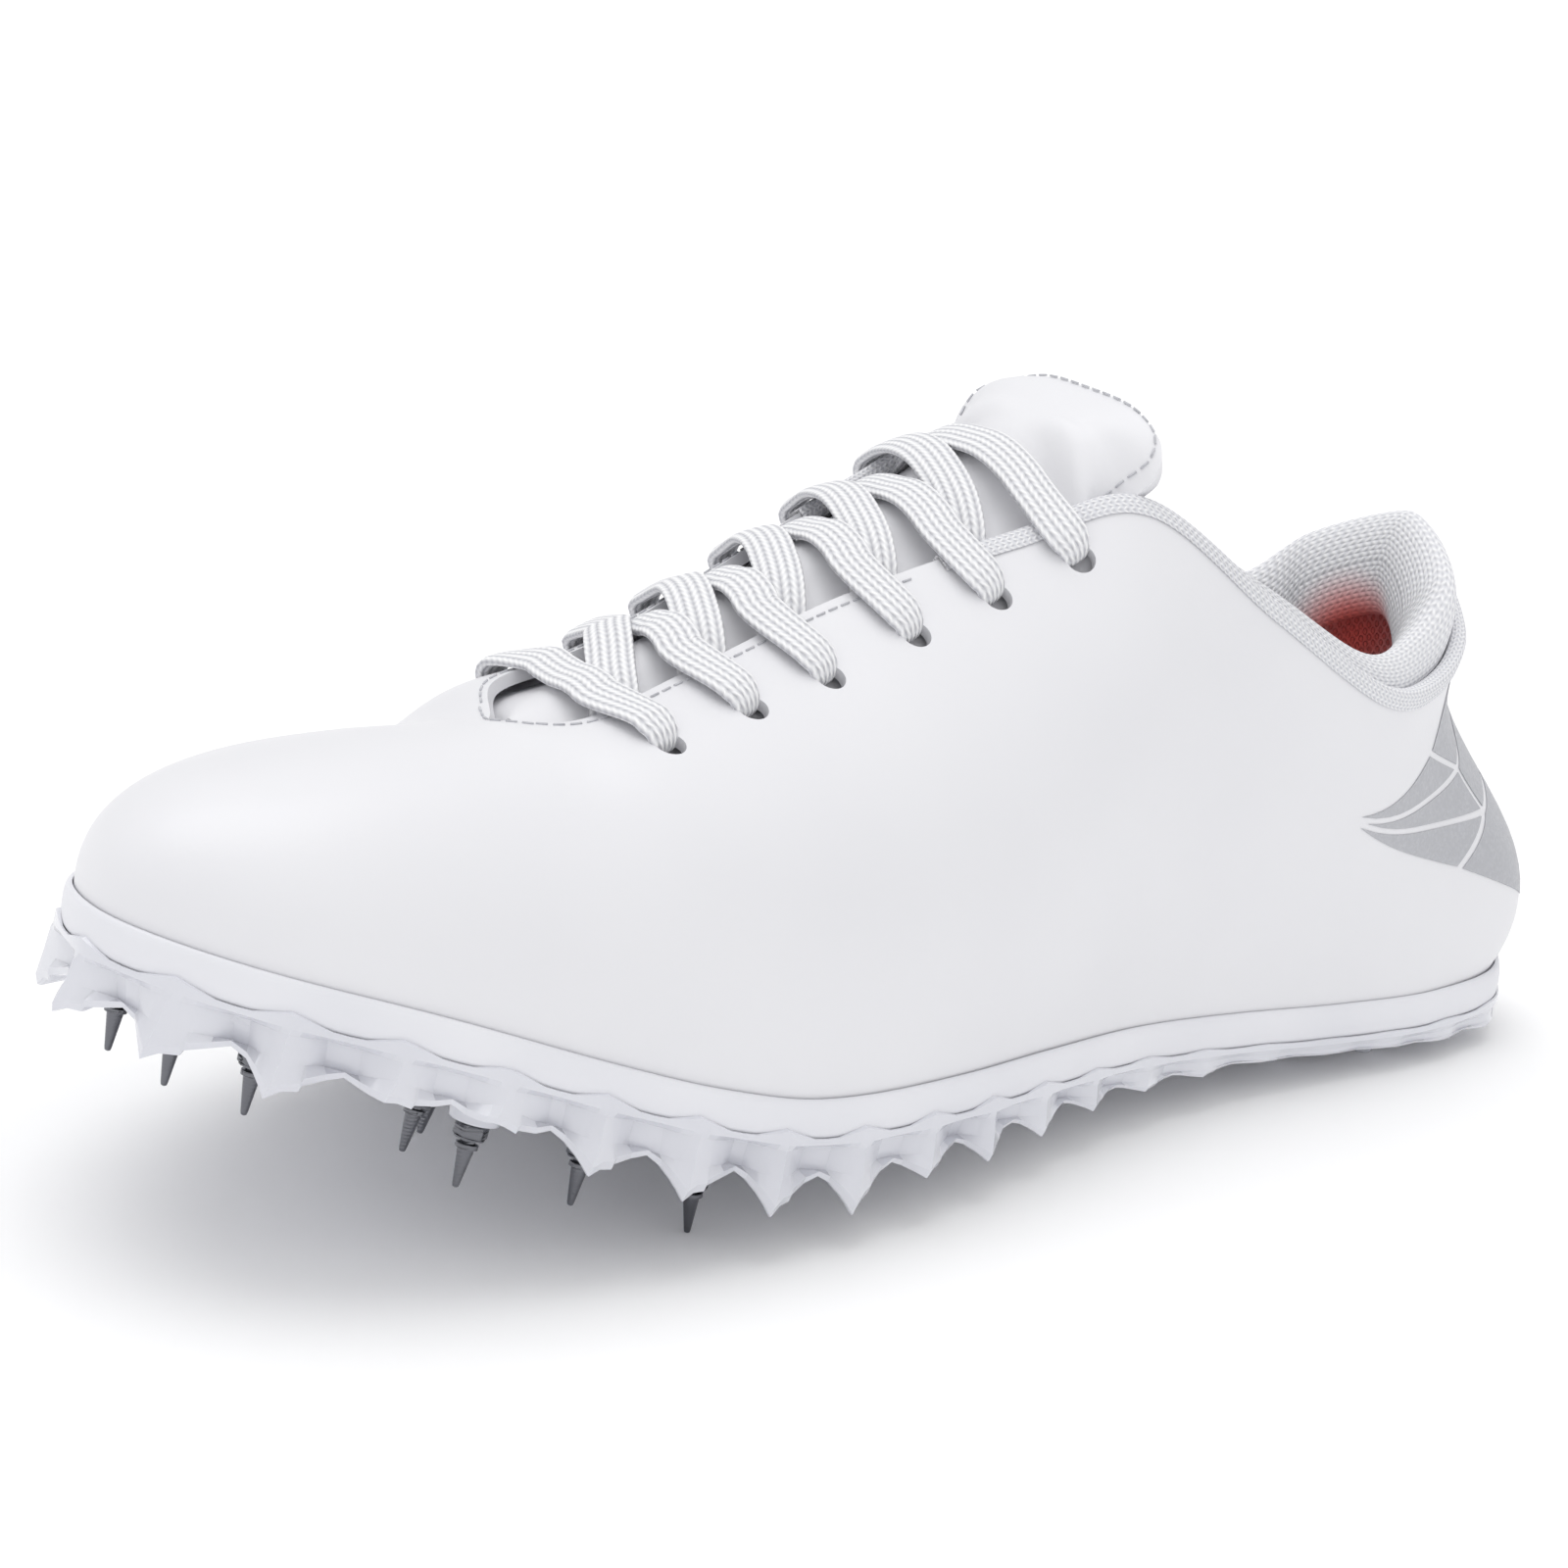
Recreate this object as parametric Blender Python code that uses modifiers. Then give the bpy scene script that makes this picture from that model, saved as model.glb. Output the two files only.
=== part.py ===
"""Track spike shoe for the right foot, about EU 43: each piece as a solid at its real size.

The toe points to -X and the heel to +X, the inner side of the foot is -Y, +Z is up and the floor
is z = 0. The upper is one surface round the last. A row of RIBS stands at each place round the
sole's edge, from the toe tip along the inner side to the heel and back along the outer side, and
each rib is a Bezier curve from the sole's edge to the seam, throat or collar edge above it.
"""
import math
from collections import namedtuple

import bmesh
import bpy
from mathutils import Matrix, Vector

MM = 0.001

# Driving sizes of the last
LENGTH = 279 * MM
BALL_WIDTH = 94 * MM
INSTEP_HEIGHT = 94.5 * MM
HEEL_HEIGHT = 77 * MM
BALL_LIFT = 16 * MM
HEEL_LIFT = 6.4 * MM
TOE_LIFT = 42.5 * MM

# Walls, seats and clearances
UPPER_WALL = 1.8 * MM
CLEARANCE = 0.3 * MM
BAND_HEIGHT = 5.9 * MM
LIP_HEIGHT = 1.3 * MM
LIP_WIDTH = 0.9 * MM
PLATE_THICKNESS = 1.6 * MM
PLATE_INSET = 1.0 * MM
INSOLE_THICKNESS = 2.2 * MM
INSOLE_ROOM = 0.9 * MM
TONGUE_THICKNESS = 3.2 * MM

# Teeth, lugs and pins under the sole
TOOTH_HEIGHT = 8 * MM
TOOTH_DEPTH = 6.5 * MM
LUG_RADIUS = 5 * MM
LUG_FLAT_RADIUS = 2 * MM
PIN_LENGTH = 7 * MM
PIN_BASE_RADIUS = 1.3 * MM
PIN_TIP_RADIUS = 0.5 * MM
PIN_SHOULDER = 0.8
HEX_RADIUS = 2.4 * MM
HEX_HEIGHT = 1.8 * MM
SEAT_RADIUS = 3.4 * MM
SEAT_FLARE = 1.35
SEAT_DROP = 7 * MM

# Lacing
EYELET_RADIUS = 2.3 * MM
LACE_WIDTH = 6.9 * MM
LACE_THICKNESS = 1.6 * MM
LACE_OVER = 1.0 * MM
LACE_FLY = 0.22
LACE_END = 0.04
LACE_FLAT = 0.82
CROSSING_POWER = 4

# Collar roll, at the heel and at its front ends
ROLL_WIDTH = 8 * MM
ROLL_RISE = 7.5 * MM
ROLL_DEPTH = 10 * MM
BINDING_WIDTH = 2.6 * MM
BINDING_RISE = 2.2 * MM
BINDING_DEPTH = 4 * MM
SWELL_RATE = 1.6
SWELL_START = 0.1
SWELL_POWER = 1.2
CUFF_END = 0.35

# Rows for one rib each. along is a share of LENGTH from the heel, across of BALL_WIDTH, and the
# top's height is instep * INSTEP_HEIGHT + heel * HEEL_HEIGHT. turn and lean, in degrees, give the
# way the surface runs at the top: turn 0 is back, 90 inwards and 180 forward, lean is above level.
# flare is the angle at the sole, and low and high are the Bezier handles as shares of the chord.
Rib = namedtuple("Rib", "along across top_along top_across instep heel turn lean flare low high")
RIBS = (
    Rib(1.000, -0.110, 0.880, -0.070, 0.684, 0.000, 0, 3, 88, 0.42, 0.44),
    Rib(0.988, -0.230, 0.870, -0.070, 0.688, 0.000, 30, -2, 88, 0.42, 0.44),
    Rib(0.948, -0.340, 0.850, -0.070, 0.692, 0.000, 65, -6, 88, 0.42, 0.44),
    Rib(0.885, -0.408, 0.815, -0.070, 0.698, 0.000, 82, -10, 85, 0.42, 0.44),
    Rib(0.805, -0.455, 0.780, -0.070, 0.704, 0.000, 90, -12, 84, 0.42, 0.44),
    Rib(0.725, -0.485, 0.745, -0.150, 0.720, 0.000, 90, -2, 82, 0.42, 0.46),
    Rib(0.645, -0.490, 0.680, -0.130, 0.768, 0.000, 90, 10, 82, 0.42, 0.46),
    Rib(0.560, -0.455, 0.575, -0.105, 0.860, 0.000, 90, 25, 82, 0.42, 0.44),
    Rib(0.470, -0.385, 0.465, -0.120, 0.942, 0.000, 90, 35, 80, 0.42, 0.42),
    Rib(0.380, -0.320, 0.392, -0.175, 1.000, 0.000, 90, 55, 84, 0.42, 0.40),
    Rib(0.290, -0.290, 0.310, -0.265, 0.430, 0.505, 90, 82, 86, 0.40, 0.38),
    Rib(0.205, -0.285, 0.222, -0.295, 0.000, 0.850, 90, 88, 88, 0.40, 0.38),
    Rib(0.120, -0.278, 0.158, -0.250, 0.000, 0.835, 100, 100, 84, 0.40, 0.38),
    Rib(0.040, -0.210, 0.114, -0.175, 0.000, 0.910, 130, 108, 62, 0.42, 0.42),
    Rib(0.000, 0.000, 0.088, 0.000, 0.000, 1.000, 180, 104, 45, 0.42, 0.42),
    Rib(0.040, 0.210, 0.114, 0.175, 0.000, 0.910, 130, 108, 62, 0.42, 0.42),
    Rib(0.120, 0.290, 0.158, 0.250, 0.000, 0.830, 100, 100, 84, 0.40, 0.38),
    Rib(0.205, 0.305, 0.222, 0.295, 0.000, 0.830, 90, 88, 88, 0.40, 0.38),
    Rib(0.290, 0.325, 0.310, 0.265, 0.420, 0.484, 90, 82, 88, 0.40, 0.38),
    Rib(0.380, 0.350, 0.392, 0.275, 1.000, 0.000, 90, 55, 88, 0.42, 0.40),
    Rib(0.465, 0.400, 0.465, 0.258, 0.944, 0.000, 90, 38, 88, 0.38, 0.40),
    Rib(0.550, 0.460, 0.575, 0.165, 0.846, 0.000, 90, 30, 90, 0.36, 0.40),
    Rib(0.630, 0.495, 0.680, 0.075, 0.762, 0.000, 90, 22, 92, 0.34, 0.38),
    Rib(0.715, 0.480, 0.745, 0.055, 0.722, 0.000, 90, 15, 93, 0.32, 0.38),
    Rib(0.795, 0.420, 0.780, -0.070, 0.704, 0.000, 90, 12, 93, 0.32, 0.38),
    Rib(0.870, 0.330, 0.815, -0.070, 0.698, 0.000, 82, 8, 92, 0.34, 0.38),
    Rib(0.935, 0.200, 0.850, -0.070, 0.692, 0.000, 65, 6, 90, 0.38, 0.42),
    Rib(0.982, 0.045, 0.870, -0.070, 0.688, 0.000, 35, 5, 88, 0.40, 0.44),
)
RIB_COUNT = len(RIBS)
HEEL_RIB = RIB_COUNT // 2
SEAM_RIBS = 4
EYESTAY_RIB = 9

# Underside of the midsole above the floor, as shares of the three lifts
Lift = namedtuple("Lift", "along heel ball toe")
LIFTS = (
    Lift(0.00, 1.25, 0.000, 0.000),
    Lift(0.06, 1.00, 0.000, 0.000),
    Lift(0.20, 1.10, 0.000, 0.000),
    Lift(0.40, 0.60, 0.460, 0.000),
    Lift(0.55, 0.10, 0.835, 0.000),
    Lift(0.66, 0.00, 1.000, 0.000),
    Lift(0.72, 0.00, 0.800, 0.158),
    Lift(0.78, 0.00, 0.500, 0.388),
    Lift(0.88, 0.00, 0.150, 0.732),
    Lift(1.00, 0.00, 0.000, 1.000),
)

# Side of the midsole band: inset from the outline and height, as shares of BAND_HEIGHT
BandRow = namedtuple("BandRow", "inset height")
BAND_SIDE = (
    BandRow(0.30, 0.00),
    BandRow(0.07, 0.12),
    BandRow(0.00, 0.42),
    BandRow(0.02, 0.80),
    BandRow(0.08, 1.00),
)

# How far the teeth reach at each place along the sole, as shares of TOOTH_HEIGHT
Reach = namedtuple("Reach", "along reach")
TOOTH_REACH = (
    Reach(0.00, 0.06),
    Reach(0.08, 0.20),
    Reach(0.30, 0.26),
    Reach(0.42, 0.35),
    Reach(0.50, 0.55),
    Reach(0.58, 0.80),
    Reach(0.66, 1.00),
    Reach(0.90, 1.00),
    Reach(1.00, 0.90),
)

# Edge of the outsole at a tooth's own column and at the columns between two teeth: how far the
# waist above and the tip stand in, in shares of PLATE_INSET, and how far the tip reaches
EdgeColumn = namedtuple("EdgeColumn", "waist tip reach")
TOOTH_COLUMN = EdgeColumn(0.6, 1.0, 1.0)
BETWEEN_COLUMN = EdgeColumn(1.2, 2.0, 0.6)
INNER_REACH = 0.25
INNER_LIMIT = 0.15

# Rows of points across the underside between its two edges: share of the half width, and the
# reach at a tooth's own column and at the columns between two teeth
UnderRow = namedtuple("UnderRow", "share tooth between")
UNDER_ROWS = (
    UnderRow(0.40, 0.20, 0.65),
    UnderRow(0.60, 0.65, 0.20),
    UnderRow(0.80, 0.20, 0.60),
    UnderRow(1.00, 0.65, 0.20),
)

# Spike pins: place as shares of LENGTH and BALL_WIDTH; the shoe stands on those whose stands is 1.
# drop is the seat's length as a share of SEAT_DROP, and tilt leans the tip to the toe, in degrees.
Pin = namedtuple("Pin", "name along across stands drop tilt")
PINS = (
    Pin("toe_outer", 0.936, 0.080, 0, 0.90, 8),
    Pin("toe_inner", 0.934, -0.060, 0, 0.92, 8),
    Pin("toe_middle", 0.909, -0.150, 0, 0.94, 8),
    Pin("front_inner", 0.828, -0.340, 0, 0.92, 12),
    Pin("front_middle", 0.821, -0.190, 0, 0.92, 14),
    Pin("middle", 0.784, -0.085, 0, 0.81, 16),
    Pin("tread_inner", 0.762, -0.345, 0, 0.83, 10),
    Pin("ball_inner", 0.700, -0.360, 1, 1.00, 0),
    Pin("ball_outer", 0.700, 0.360, 1, 1.00, 0),
)

# Flat-ended lugs that the heel stands on, as shares of LENGTH and BALL_WIDTH
Lug = namedtuple("Lug", "along across")
HEEL_LUGS = (
    Lug(0.055, 0.000),
    Lug(0.080, -0.150),
    Lug(0.080, 0.150),
    Lug(0.145, -0.180),
    Lug(0.145, 0.180),
    Lug(0.215, -0.150),
    Lug(0.215, 0.170),
)

# Eyelets on both sides: rib place from the toe, and share of the rib's height
Eyelet = namedtuple("Eyelet", "rib height")
EYELETS = (
    Eyelet(5.40, 0.840),
    Eyelet(6.16, 0.860),
    Eyelet(6.66, 0.860),
    Eyelet(7.22, 0.880),
    Eyelet(7.72, 0.900),
    Eyelet(8.34, 0.920),
)

# Middle of the tongue in the throat, as a share of INSTEP_HEIGHT, and its free top
Crest = namedtuple("Crest", "along height")
TONGUE_CREST = (
    Crest(0.430, 1.030),
    Crest(0.465, 0.985),
    Crest(0.575, 0.888),
    Crest(0.680, 0.784),
    Crest(0.745, 0.716),
    Crest(0.800, 0.680),
)
TONGUE_RIBS = (4.4, 4.8, 5.2, 5.6, 6.0, 6.5, 7.0, 7.5, 8.0, 8.4)
TONGUE_HEM = (0.78, 0.89, 0.96, 1.0)
TongueTop = namedtuple("TongueTop", "along middle half_width crest edge tilt")
TONGUE_TOP = (
    TongueTop(0.412, 0.050, 0.185, 1.050, 0.920, 0.000),
    TongueTop(0.400, 0.048, 0.190, 1.078, 0.985, 0.008),
    TongueTop(0.390, 0.036, 0.228, 1.106, 1.045, 0.014),
    TongueTop(0.382, 0.030, 0.205, 1.127, 1.082, 0.010),
    TongueTop(0.377, 0.030, 0.135, 1.134, 1.113, 0.005),
)

# Mesh fineness
STEPS_PER_RIB = 3
UPPER_ROWS = 9
SEAM_SMOOTHINGS = 4
EDGE_COLUMNS = 48
TONGUE_SPAN = 5
TONGUE_HUMP_POWER = 1.5
TONGUE_EDGE_POWER = 4
NEAR_RIB = 0.1
LACE_STEPS = 10
CUFF_STEPS = 26
CUFF_SIDES = 10
PIN_SIDES = 6
SEAT_SIDES = 12
LUG_SIDES = 6
EYELET_SIDES = 10
LENGTH_SAMPLES = 400
SHARP_ANGLE = 35

Look = namedtuple("Look", "red green blue roughness metallic")
WHITE_PU = Look(0.86, 0.86, 0.87, 0.38, 0.0)
WHITE_KNIT = Look(0.80, 0.81, 0.82, 0.85, 0.0)
WHITE_FOAM = Look(0.84, 0.84, 0.85, 0.50, 0.0)
CLEAR_WHITE_TPU = Look(0.78, 0.79, 0.81, 0.28, 0.0)
LACE_WHITE = Look(0.83, 0.83, 0.84, 0.80, 0.0)
PIN_STEEL = Look(0.30, 0.30, 0.32, 0.25, 1.0)
LINING_WHITE = Look(0.75, 0.75, 0.76, 0.90, 0.0)


def row_curve(rows, place):
    """Smooth curve through the rows of a table, at a place counted in rows; the table is a ring."""
    first = math.floor(place)
    part = place - first
    before, start, end, after = (rows[(first + step) % len(rows)] for step in (-1, 0, 1, 2))
    result = []
    for a, b, c, d in zip(before, start, end, after):
        bend = 2 * a - 5 * b + 4 * c - d
        twist = 3 * b - a - 3 * c + d
        result.append(0.5 * (2 * b + (c - a) * part + bend * part ** 2 + twist * part ** 3))
    return result


def table_value(rows, along, column):
    """Value of one column of a table whose first column rises, smoothly between its rows."""
    places = [row.along for row in rows]
    values = [row[column] for row in rows]
    last = len(rows) - 1
    index = max((k for k in range(last) if places[k] <= along), default=0)
    slopes = []
    for k in (index, index + 1):
        low, high = max(k - 1, 0), min(k + 1, last)
        slopes.append((values[high] - values[low]) / (places[high] - places[low]))
    span = places[index + 1] - places[index]
    part = min(max((along - places[index]) / span, 0.0), 1.0)
    square, cube = part ** 2, part ** 3
    result = (2 * cube - 3 * square + 1) * values[index] + (3 * square - 2 * cube) * values[index + 1]
    result += (cube - 2 * square + part) * slopes[0] * span + (cube - square) * slopes[1] * span
    return result


def along_of(x):
    """Share of the length, from the heel, at a world x."""
    return 0.5 - x / LENGTH


def lift(x):
    """Height of the midsole's underside at a world x."""
    along = along_of(x)
    heel, ball, toe = (table_value(LIFTS, along, column) for column in (1, 2, 3))
    return heel * HEEL_LIFT + ball * BALL_LIFT + toe * TOE_LIFT


def edge_frame(place):
    """Point of the sole's outline in plan, with its outward direction."""
    here, ahead, behind = (row_curve(RIBS, place + step) for step in (0, 0.001, -0.001))
    run = Vector((LENGTH * (behind[0] - ahead[0]), BALL_WIDTH * (ahead[1] - behind[1]), 0)).normalized()
    point = Vector((LENGTH * (0.5 - here[0]), BALL_WIDTH * here[1], 0))
    return point, Vector((run.y, -run.x, 0))


def edge_point(place, inset, height):
    """Point at an inset from the outline and a height above the midsole's underside there."""
    point, outward = edge_frame(place)
    point = point - outward * inset
    point.z = lift(point.x) + height
    return point


def mirrored(place):
    """Place on the other side of the shoe that faces this one."""
    return RIB_COUNT - place


def rib_top(place):
    """Top end of the rib at a place: the two sides share their ends along the closed vamp."""
    own = row_curve(RIBS, place)
    near_tip = min(place, mirrored(place))
    if near_tip < SEAM_RIBS:
        other = row_curve(RIBS, mirrored(place))
        own = [(a + b) / 2 for a, b in zip(own, other)]
    height = own[4] * INSTEP_HEIGHT + own[5] * HEEL_HEIGHT
    return Vector((LENGTH * (0.5 - own[2]), BALL_WIDTH * own[3], height))


def surface(place, share):
    """Point of the upper's outer surface: place round the sole, share of the way up the rib."""
    rib = Rib(*row_curve(RIBS, place))
    flare, turn, lean = math.radians(rib.flare), math.radians(rib.turn), math.radians(rib.lean)
    foot_inset = LIP_WIDTH + 1.5 * CLEARANCE + LIP_HEIGHT * max(math.cos(flare), 0)
    foot = edge_point(place, foot_inset, BAND_HEIGHT - LIP_HEIGHT + 1.5 * CLEARANCE)
    top = rib_top(place)
    chord = (top - foot).length
    outward = edge_frame(place)[1]
    rise = outward * math.cos(flare) + Vector((0, 0, math.sin(flare)))
    side = 1 if place % RIB_COUNT < HEEL_RIB else -1
    level = Vector((math.cos(turn), side * math.sin(turn), 0))
    finish = level * math.cos(lean) + Vector((0, 0, math.sin(lean)))
    low = foot + rise * chord * rib.low
    high = top - finish * chord * rib.high
    back = 1 - share
    return (foot * back ** 3 + low * 3 * back ** 2 * share + high * 3 * back * share ** 2
            + top * share ** 3)


def surface_normal(place, share):
    """Outward direction of the upper's surface."""
    step = 0.01
    share = min(share, 1 - step)
    along = surface(place + step, share) - surface(place - step, share)
    up = surface(place, share + step) - surface(place, share - step)
    return along.cross(up).normalized()


def inside(place, share, depth):
    """Point at a depth under the upper's outer surface."""
    return surface(place, share) - surface_normal(place, share) * depth


def clear_scene():
    """Remove every object of the open file."""
    for item in list(bpy.data.objects):
        bpy.data.objects.remove(item, do_unlink=True)


def new_collection(name):
    """Collection in the scene."""
    collection = bpy.data.collections.new(name)
    bpy.context.scene.collection.children.link(collection)
    return collection


def new_material(name, look):
    """Plain material of one colour."""
    material = bpy.data.materials.new(name)
    material.use_nodes = True
    shader = material.node_tree.nodes["Principled BSDF"]
    shader.inputs["Base Color"].default_value = (look.red, look.green, look.blue, 1)
    shader.inputs["Roughness"].default_value = look.roughness
    shader.inputs["Metallic"].default_value = look.metallic
    return material


def new_object(name, mesh_data, collection, look):
    """Object for a bmesh, linked and with its own material."""
    mesh = bpy.data.meshes.new(name)
    mesh_data.to_mesh(mesh)
    mesh_data.free()
    item = bpy.data.objects.new(name, mesh)
    collection.objects.link(item)
    if look:
        mesh.materials.append(new_material(name, look))
    mesh.shade_smooth()
    mesh.set_sharp_from_angle(angle=math.radians(SHARP_ANGLE))
    return item


def new_cutter(name, mesh_data, collection):
    """Object that a Boolean modifier reads, hidden from renders."""
    item = new_object(name, mesh_data, collection, None)
    item.hide_render = True
    item.display_type = "WIRE"
    return item


def add_boolean(item, cutter, operation):
    """Exact Boolean modifier."""
    modifier = item.modifiers.new(cutter.name, "BOOLEAN")
    modifier.operation = operation
    modifier.object = cutter


def loft(work, rings):
    """Faces between closed rings of points, each ring with the same count; returns the vertices."""
    lines = [[work.verts.new(point) for point in ring] for ring in rings]
    for low, high in zip(lines, lines[1:]):
        for k in range(len(low)):
            after = (k + 1) % len(low)
            work.faces.new((low[k], low[after], high[after], high[k]))
    return lines


def ladder(work, ring, rungs, downward):
    """Close a ring that runs from the toe tip round to the tip again, with rungs across it.

    rungs gives, for a column pair, the points between its near and far vertices.
    """
    count = len(ring)
    half = count // 2
    lines = []
    for k in range(1, half):
        near, far = ring[k], ring[count - k]
        middle = [work.verts.new(point) for point in rungs(k, near.co, far.co)]
        lines.append([near] + middle + [far])

    def face(corners):
        work.faces.new(corners if downward else tuple(reversed(corners)))

    for first, second in zip(lines, lines[1:]):
        for a, b, c, d in zip(first, first[1:], second[1:], second):
            face((a, b, c, d))
    for a, b in zip(lines[0], lines[0][1:]):
        face((ring[0], b, a))
    for a, b in zip(lines[-1], lines[-1][1:]):
        face((ring[half], a, b))


def even_places():
    """Places round the outline, evenly spaced along each side, from the tip to the heel and back."""
    places = []
    for start, step in ((0, 1), (RIB_COUNT, -1)):
        samples = [start + step * HEEL_RIB * k / LENGTH_SAMPLES for k in range(LENGTH_SAMPLES + 1)]
        points = [edge_frame(place)[0] for place in samples]
        lengths = [0.0]
        for a, b in zip(points, points[1:]):
            lengths.append(lengths[-1] + (b - a).length)
        side = []
        for k in range(EDGE_COLUMNS + 1):
            goal = lengths[-1] * k / EDGE_COLUMNS
            index = max(i for i in range(LENGTH_SAMPLES) if lengths[i] <= goal)
            part = (goal - lengths[index]) / (lengths[index + 1] - lengths[index])
            side.append(start + step * HEEL_RIB * (index + part) / LENGTH_SAMPLES)
        places.append(side)
    near, far = places
    return near + far[EDGE_COLUMNS - 1:0:-1]


def make_upper(collection, cutters):
    """Hollow upper: one wall, closed over the toes and open at the throat, collar and sole."""
    columns = RIB_COUNT * STEPS_PER_RIB
    seam = SEAM_RIBS * STEPS_PER_RIB
    work = bmesh.new()
    grid = []
    for row in range(UPPER_ROWS + 1):
        share = row / UPPER_ROWS
        line = [work.verts.new(surface(k / STEPS_PER_RIB, share)) for k in range(columns)]
        if row == UPPER_ROWS:
            for k in range(1, seam + 1):
                work.verts.remove(line[columns - k])
                line[columns - k] = line[k]
        grid.append(line)
    for low, high in zip(grid, grid[1:]):
        for k in range(columns):
            after = (k + 1) % columns
            work.faces.new((low[k], low[after], high[after], high[k]))
    vamp = [line[k] for line in grid[-3:] for k in range(-seam, seam + 1)]
    for _ in range(SEAM_SMOOTHINGS):
        bmesh.ops.smooth_vert(work, verts=list(dict.fromkeys(vamp)), factor=0.5,
                              use_axis_x=True, use_axis_y=True, use_axis_z=True)
    item = new_object("upper", work, collection, WHITE_PU)
    wall = item.modifiers.new("wall", "SOLIDIFY")
    wall.thickness = UPPER_WALL
    wall.offset = -1
    add_boolean(item, eyelet_cutter(cutters), "DIFFERENCE")
    return item


def eyelet_cutter(collection):
    """Pegs through the wall at each eyelet."""
    work = bmesh.new()
    for eyelet in EYELETS:
        for place in (eyelet.rib, mirrored(eyelet.rib)):
            centre = inside(place, eyelet.height, UPPER_WALL / 2)
            turn = surface_normal(place, eyelet.height).to_track_quat("Z", "Y").to_matrix().to_4x4()
            turn.translation = centre
            bmesh.ops.create_cone(work, cap_ends=True, segments=EYELET_SIDES, radius1=EYELET_RADIUS,
                                  radius2=EYELET_RADIUS, depth=UPPER_WALL * 3, matrix=turn)
    return new_cutter("eyelet_pegs", work, collection)


def make_midsole(collection):
    """Foam band: a rounded side, a lip round the upper's foot and a seat for upper and insole."""
    places = even_places()
    work = bmesh.new()
    rows = [(row.inset * BAND_HEIGHT, row.height * BAND_HEIGHT) for row in BAND_SIDE]
    rows.append((LIP_WIDTH, BAND_HEIGHT))
    rows.append((LIP_WIDTH, BAND_HEIGHT - LIP_HEIGHT))
    rings = [[edge_point(place, inset, height) for place in places] for inset, height in rows]
    lines = loft(work, rings)
    ladder(work, lines[0], lambda k, near, far: [], True)
    ladder(work, lines[-1], lambda k, near, far: [], False)
    return new_object("midsole", work, collection, WHITE_FOAM)


def under_point(near, far, share, reach):
    """Point of the outsole's underside between its edges, hanging by a share of the tooth."""
    point = near.lerp(far, share)
    depth = table_value(TOOTH_REACH, along_of(point.x), 1) * TOOTH_HEIGHT * reach
    point.z = lift(point.x) - CLEARANCE - PLATE_THICKNESS - depth
    return point


def make_outsole(collection, cutters):
    """Moulded plate with a row of pointed teeth round its edge and ridged rows between them."""
    places = even_places()
    work = bmesh.new()
    seam_inset = BAND_SIDE[0].inset * BAND_HEIGHT
    top = [edge_point(place, seam_inset, -CLEARANCE) for place in places]
    rim = [edge_point(place, PLATE_INSET, -2 * CLEARANCE) for place in places]
    waist, tips = [], []
    for k, place in enumerate(places):
        column = BETWEEN_COLUMN if k % 2 else TOOTH_COLUMN
        waist.append(edge_point(place, PLATE_INSET * column.waist, -CLEARANCE - PLATE_THICKNESS))
        edge = edge_point(place, PLATE_INSET * column.tip, 0)
        tips.append(under_point(edge, edge, 0, column.reach))
    lines = loft(work, [tips, waist, rim, top])
    ladder(work, lines[-1], lambda k, near, far: [], False)

    def rungs(k, near, far):
        tooth = k % 2 == 0
        width = (far - near).length
        inner = min(TOOTH_DEPTH / width, INNER_LIMIT)
        half = [(inner, INNER_REACH)]
        for row in UNDER_ROWS:
            half.append((inner + (0.5 - inner) * row.share, row.tooth if tooth else row.between))
        middle = [half.pop()]
        back = [(1 - share, reach) for share, reach in reversed(half)]
        return [under_point(near, far, share, reach) for share, reach in half + middle + back]

    ladder(work, lines[0], rungs, True)
    item = new_object("outsole", work, collection, CLEAR_WHITE_TPU)
    add_boolean(item, seat_bosses(cutters), "UNION")
    add_boolean(item, heel_lugs(cutters), "UNION")
    return item


def seat_reach(pin):
    """Length of a hanging pin with its seat, below the plate."""
    return SEAT_DROP * pin.drop + HEX_HEIGHT + PIN_LENGTH


def pin_frame(pin):
    """Frame with its origin at a pin's tip and its Z axis along the pin."""
    x, y = LENGTH * (0.5 - pin.along), BALL_WIDTH * pin.across
    if pin.stands:
        return Matrix.Translation((x, y, 0))
    plate = lift(x) - CLEARANCE - PLATE_THICKNESS
    turn = Matrix.Rotation(math.radians(pin.tilt), 4, "Y")
    return Matrix.Translation((x, y, plate)) @ turn @ Matrix.Translation((0, 0, -seat_reach(pin)))


def plate_core(x, radius):
    """Height inside the outsole's plate for the whole of a round boss at a world x."""
    return min(lift(x - radius), lift(x + radius)) - CLEARANCE - PLATE_THICKNESS / 2


def seat_bosses(collection):
    """Round bosses of the outsole that the pins screw into."""
    work = bmesh.new()
    for pin in PINS:
        bottom = PIN_LENGTH + HEX_HEIGHT + CLEARANCE
        top = seat_reach(pin) + PLATE_THICKNESS / 2
        if pin.stands:
            top = plate_core(LENGTH * (0.5 - pin.along), SEAT_RADIUS * SEAT_FLARE)
        middle = pin_frame(pin) @ Matrix.Translation((0, 0, (top + bottom) / 2))
        bmesh.ops.create_cone(work, cap_ends=True, segments=SEAT_SIDES, radius1=SEAT_RADIUS,
                              radius2=SEAT_RADIUS * SEAT_FLARE, depth=top - bottom, matrix=middle)
    return new_cutter("pin_seats", work, collection)


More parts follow.
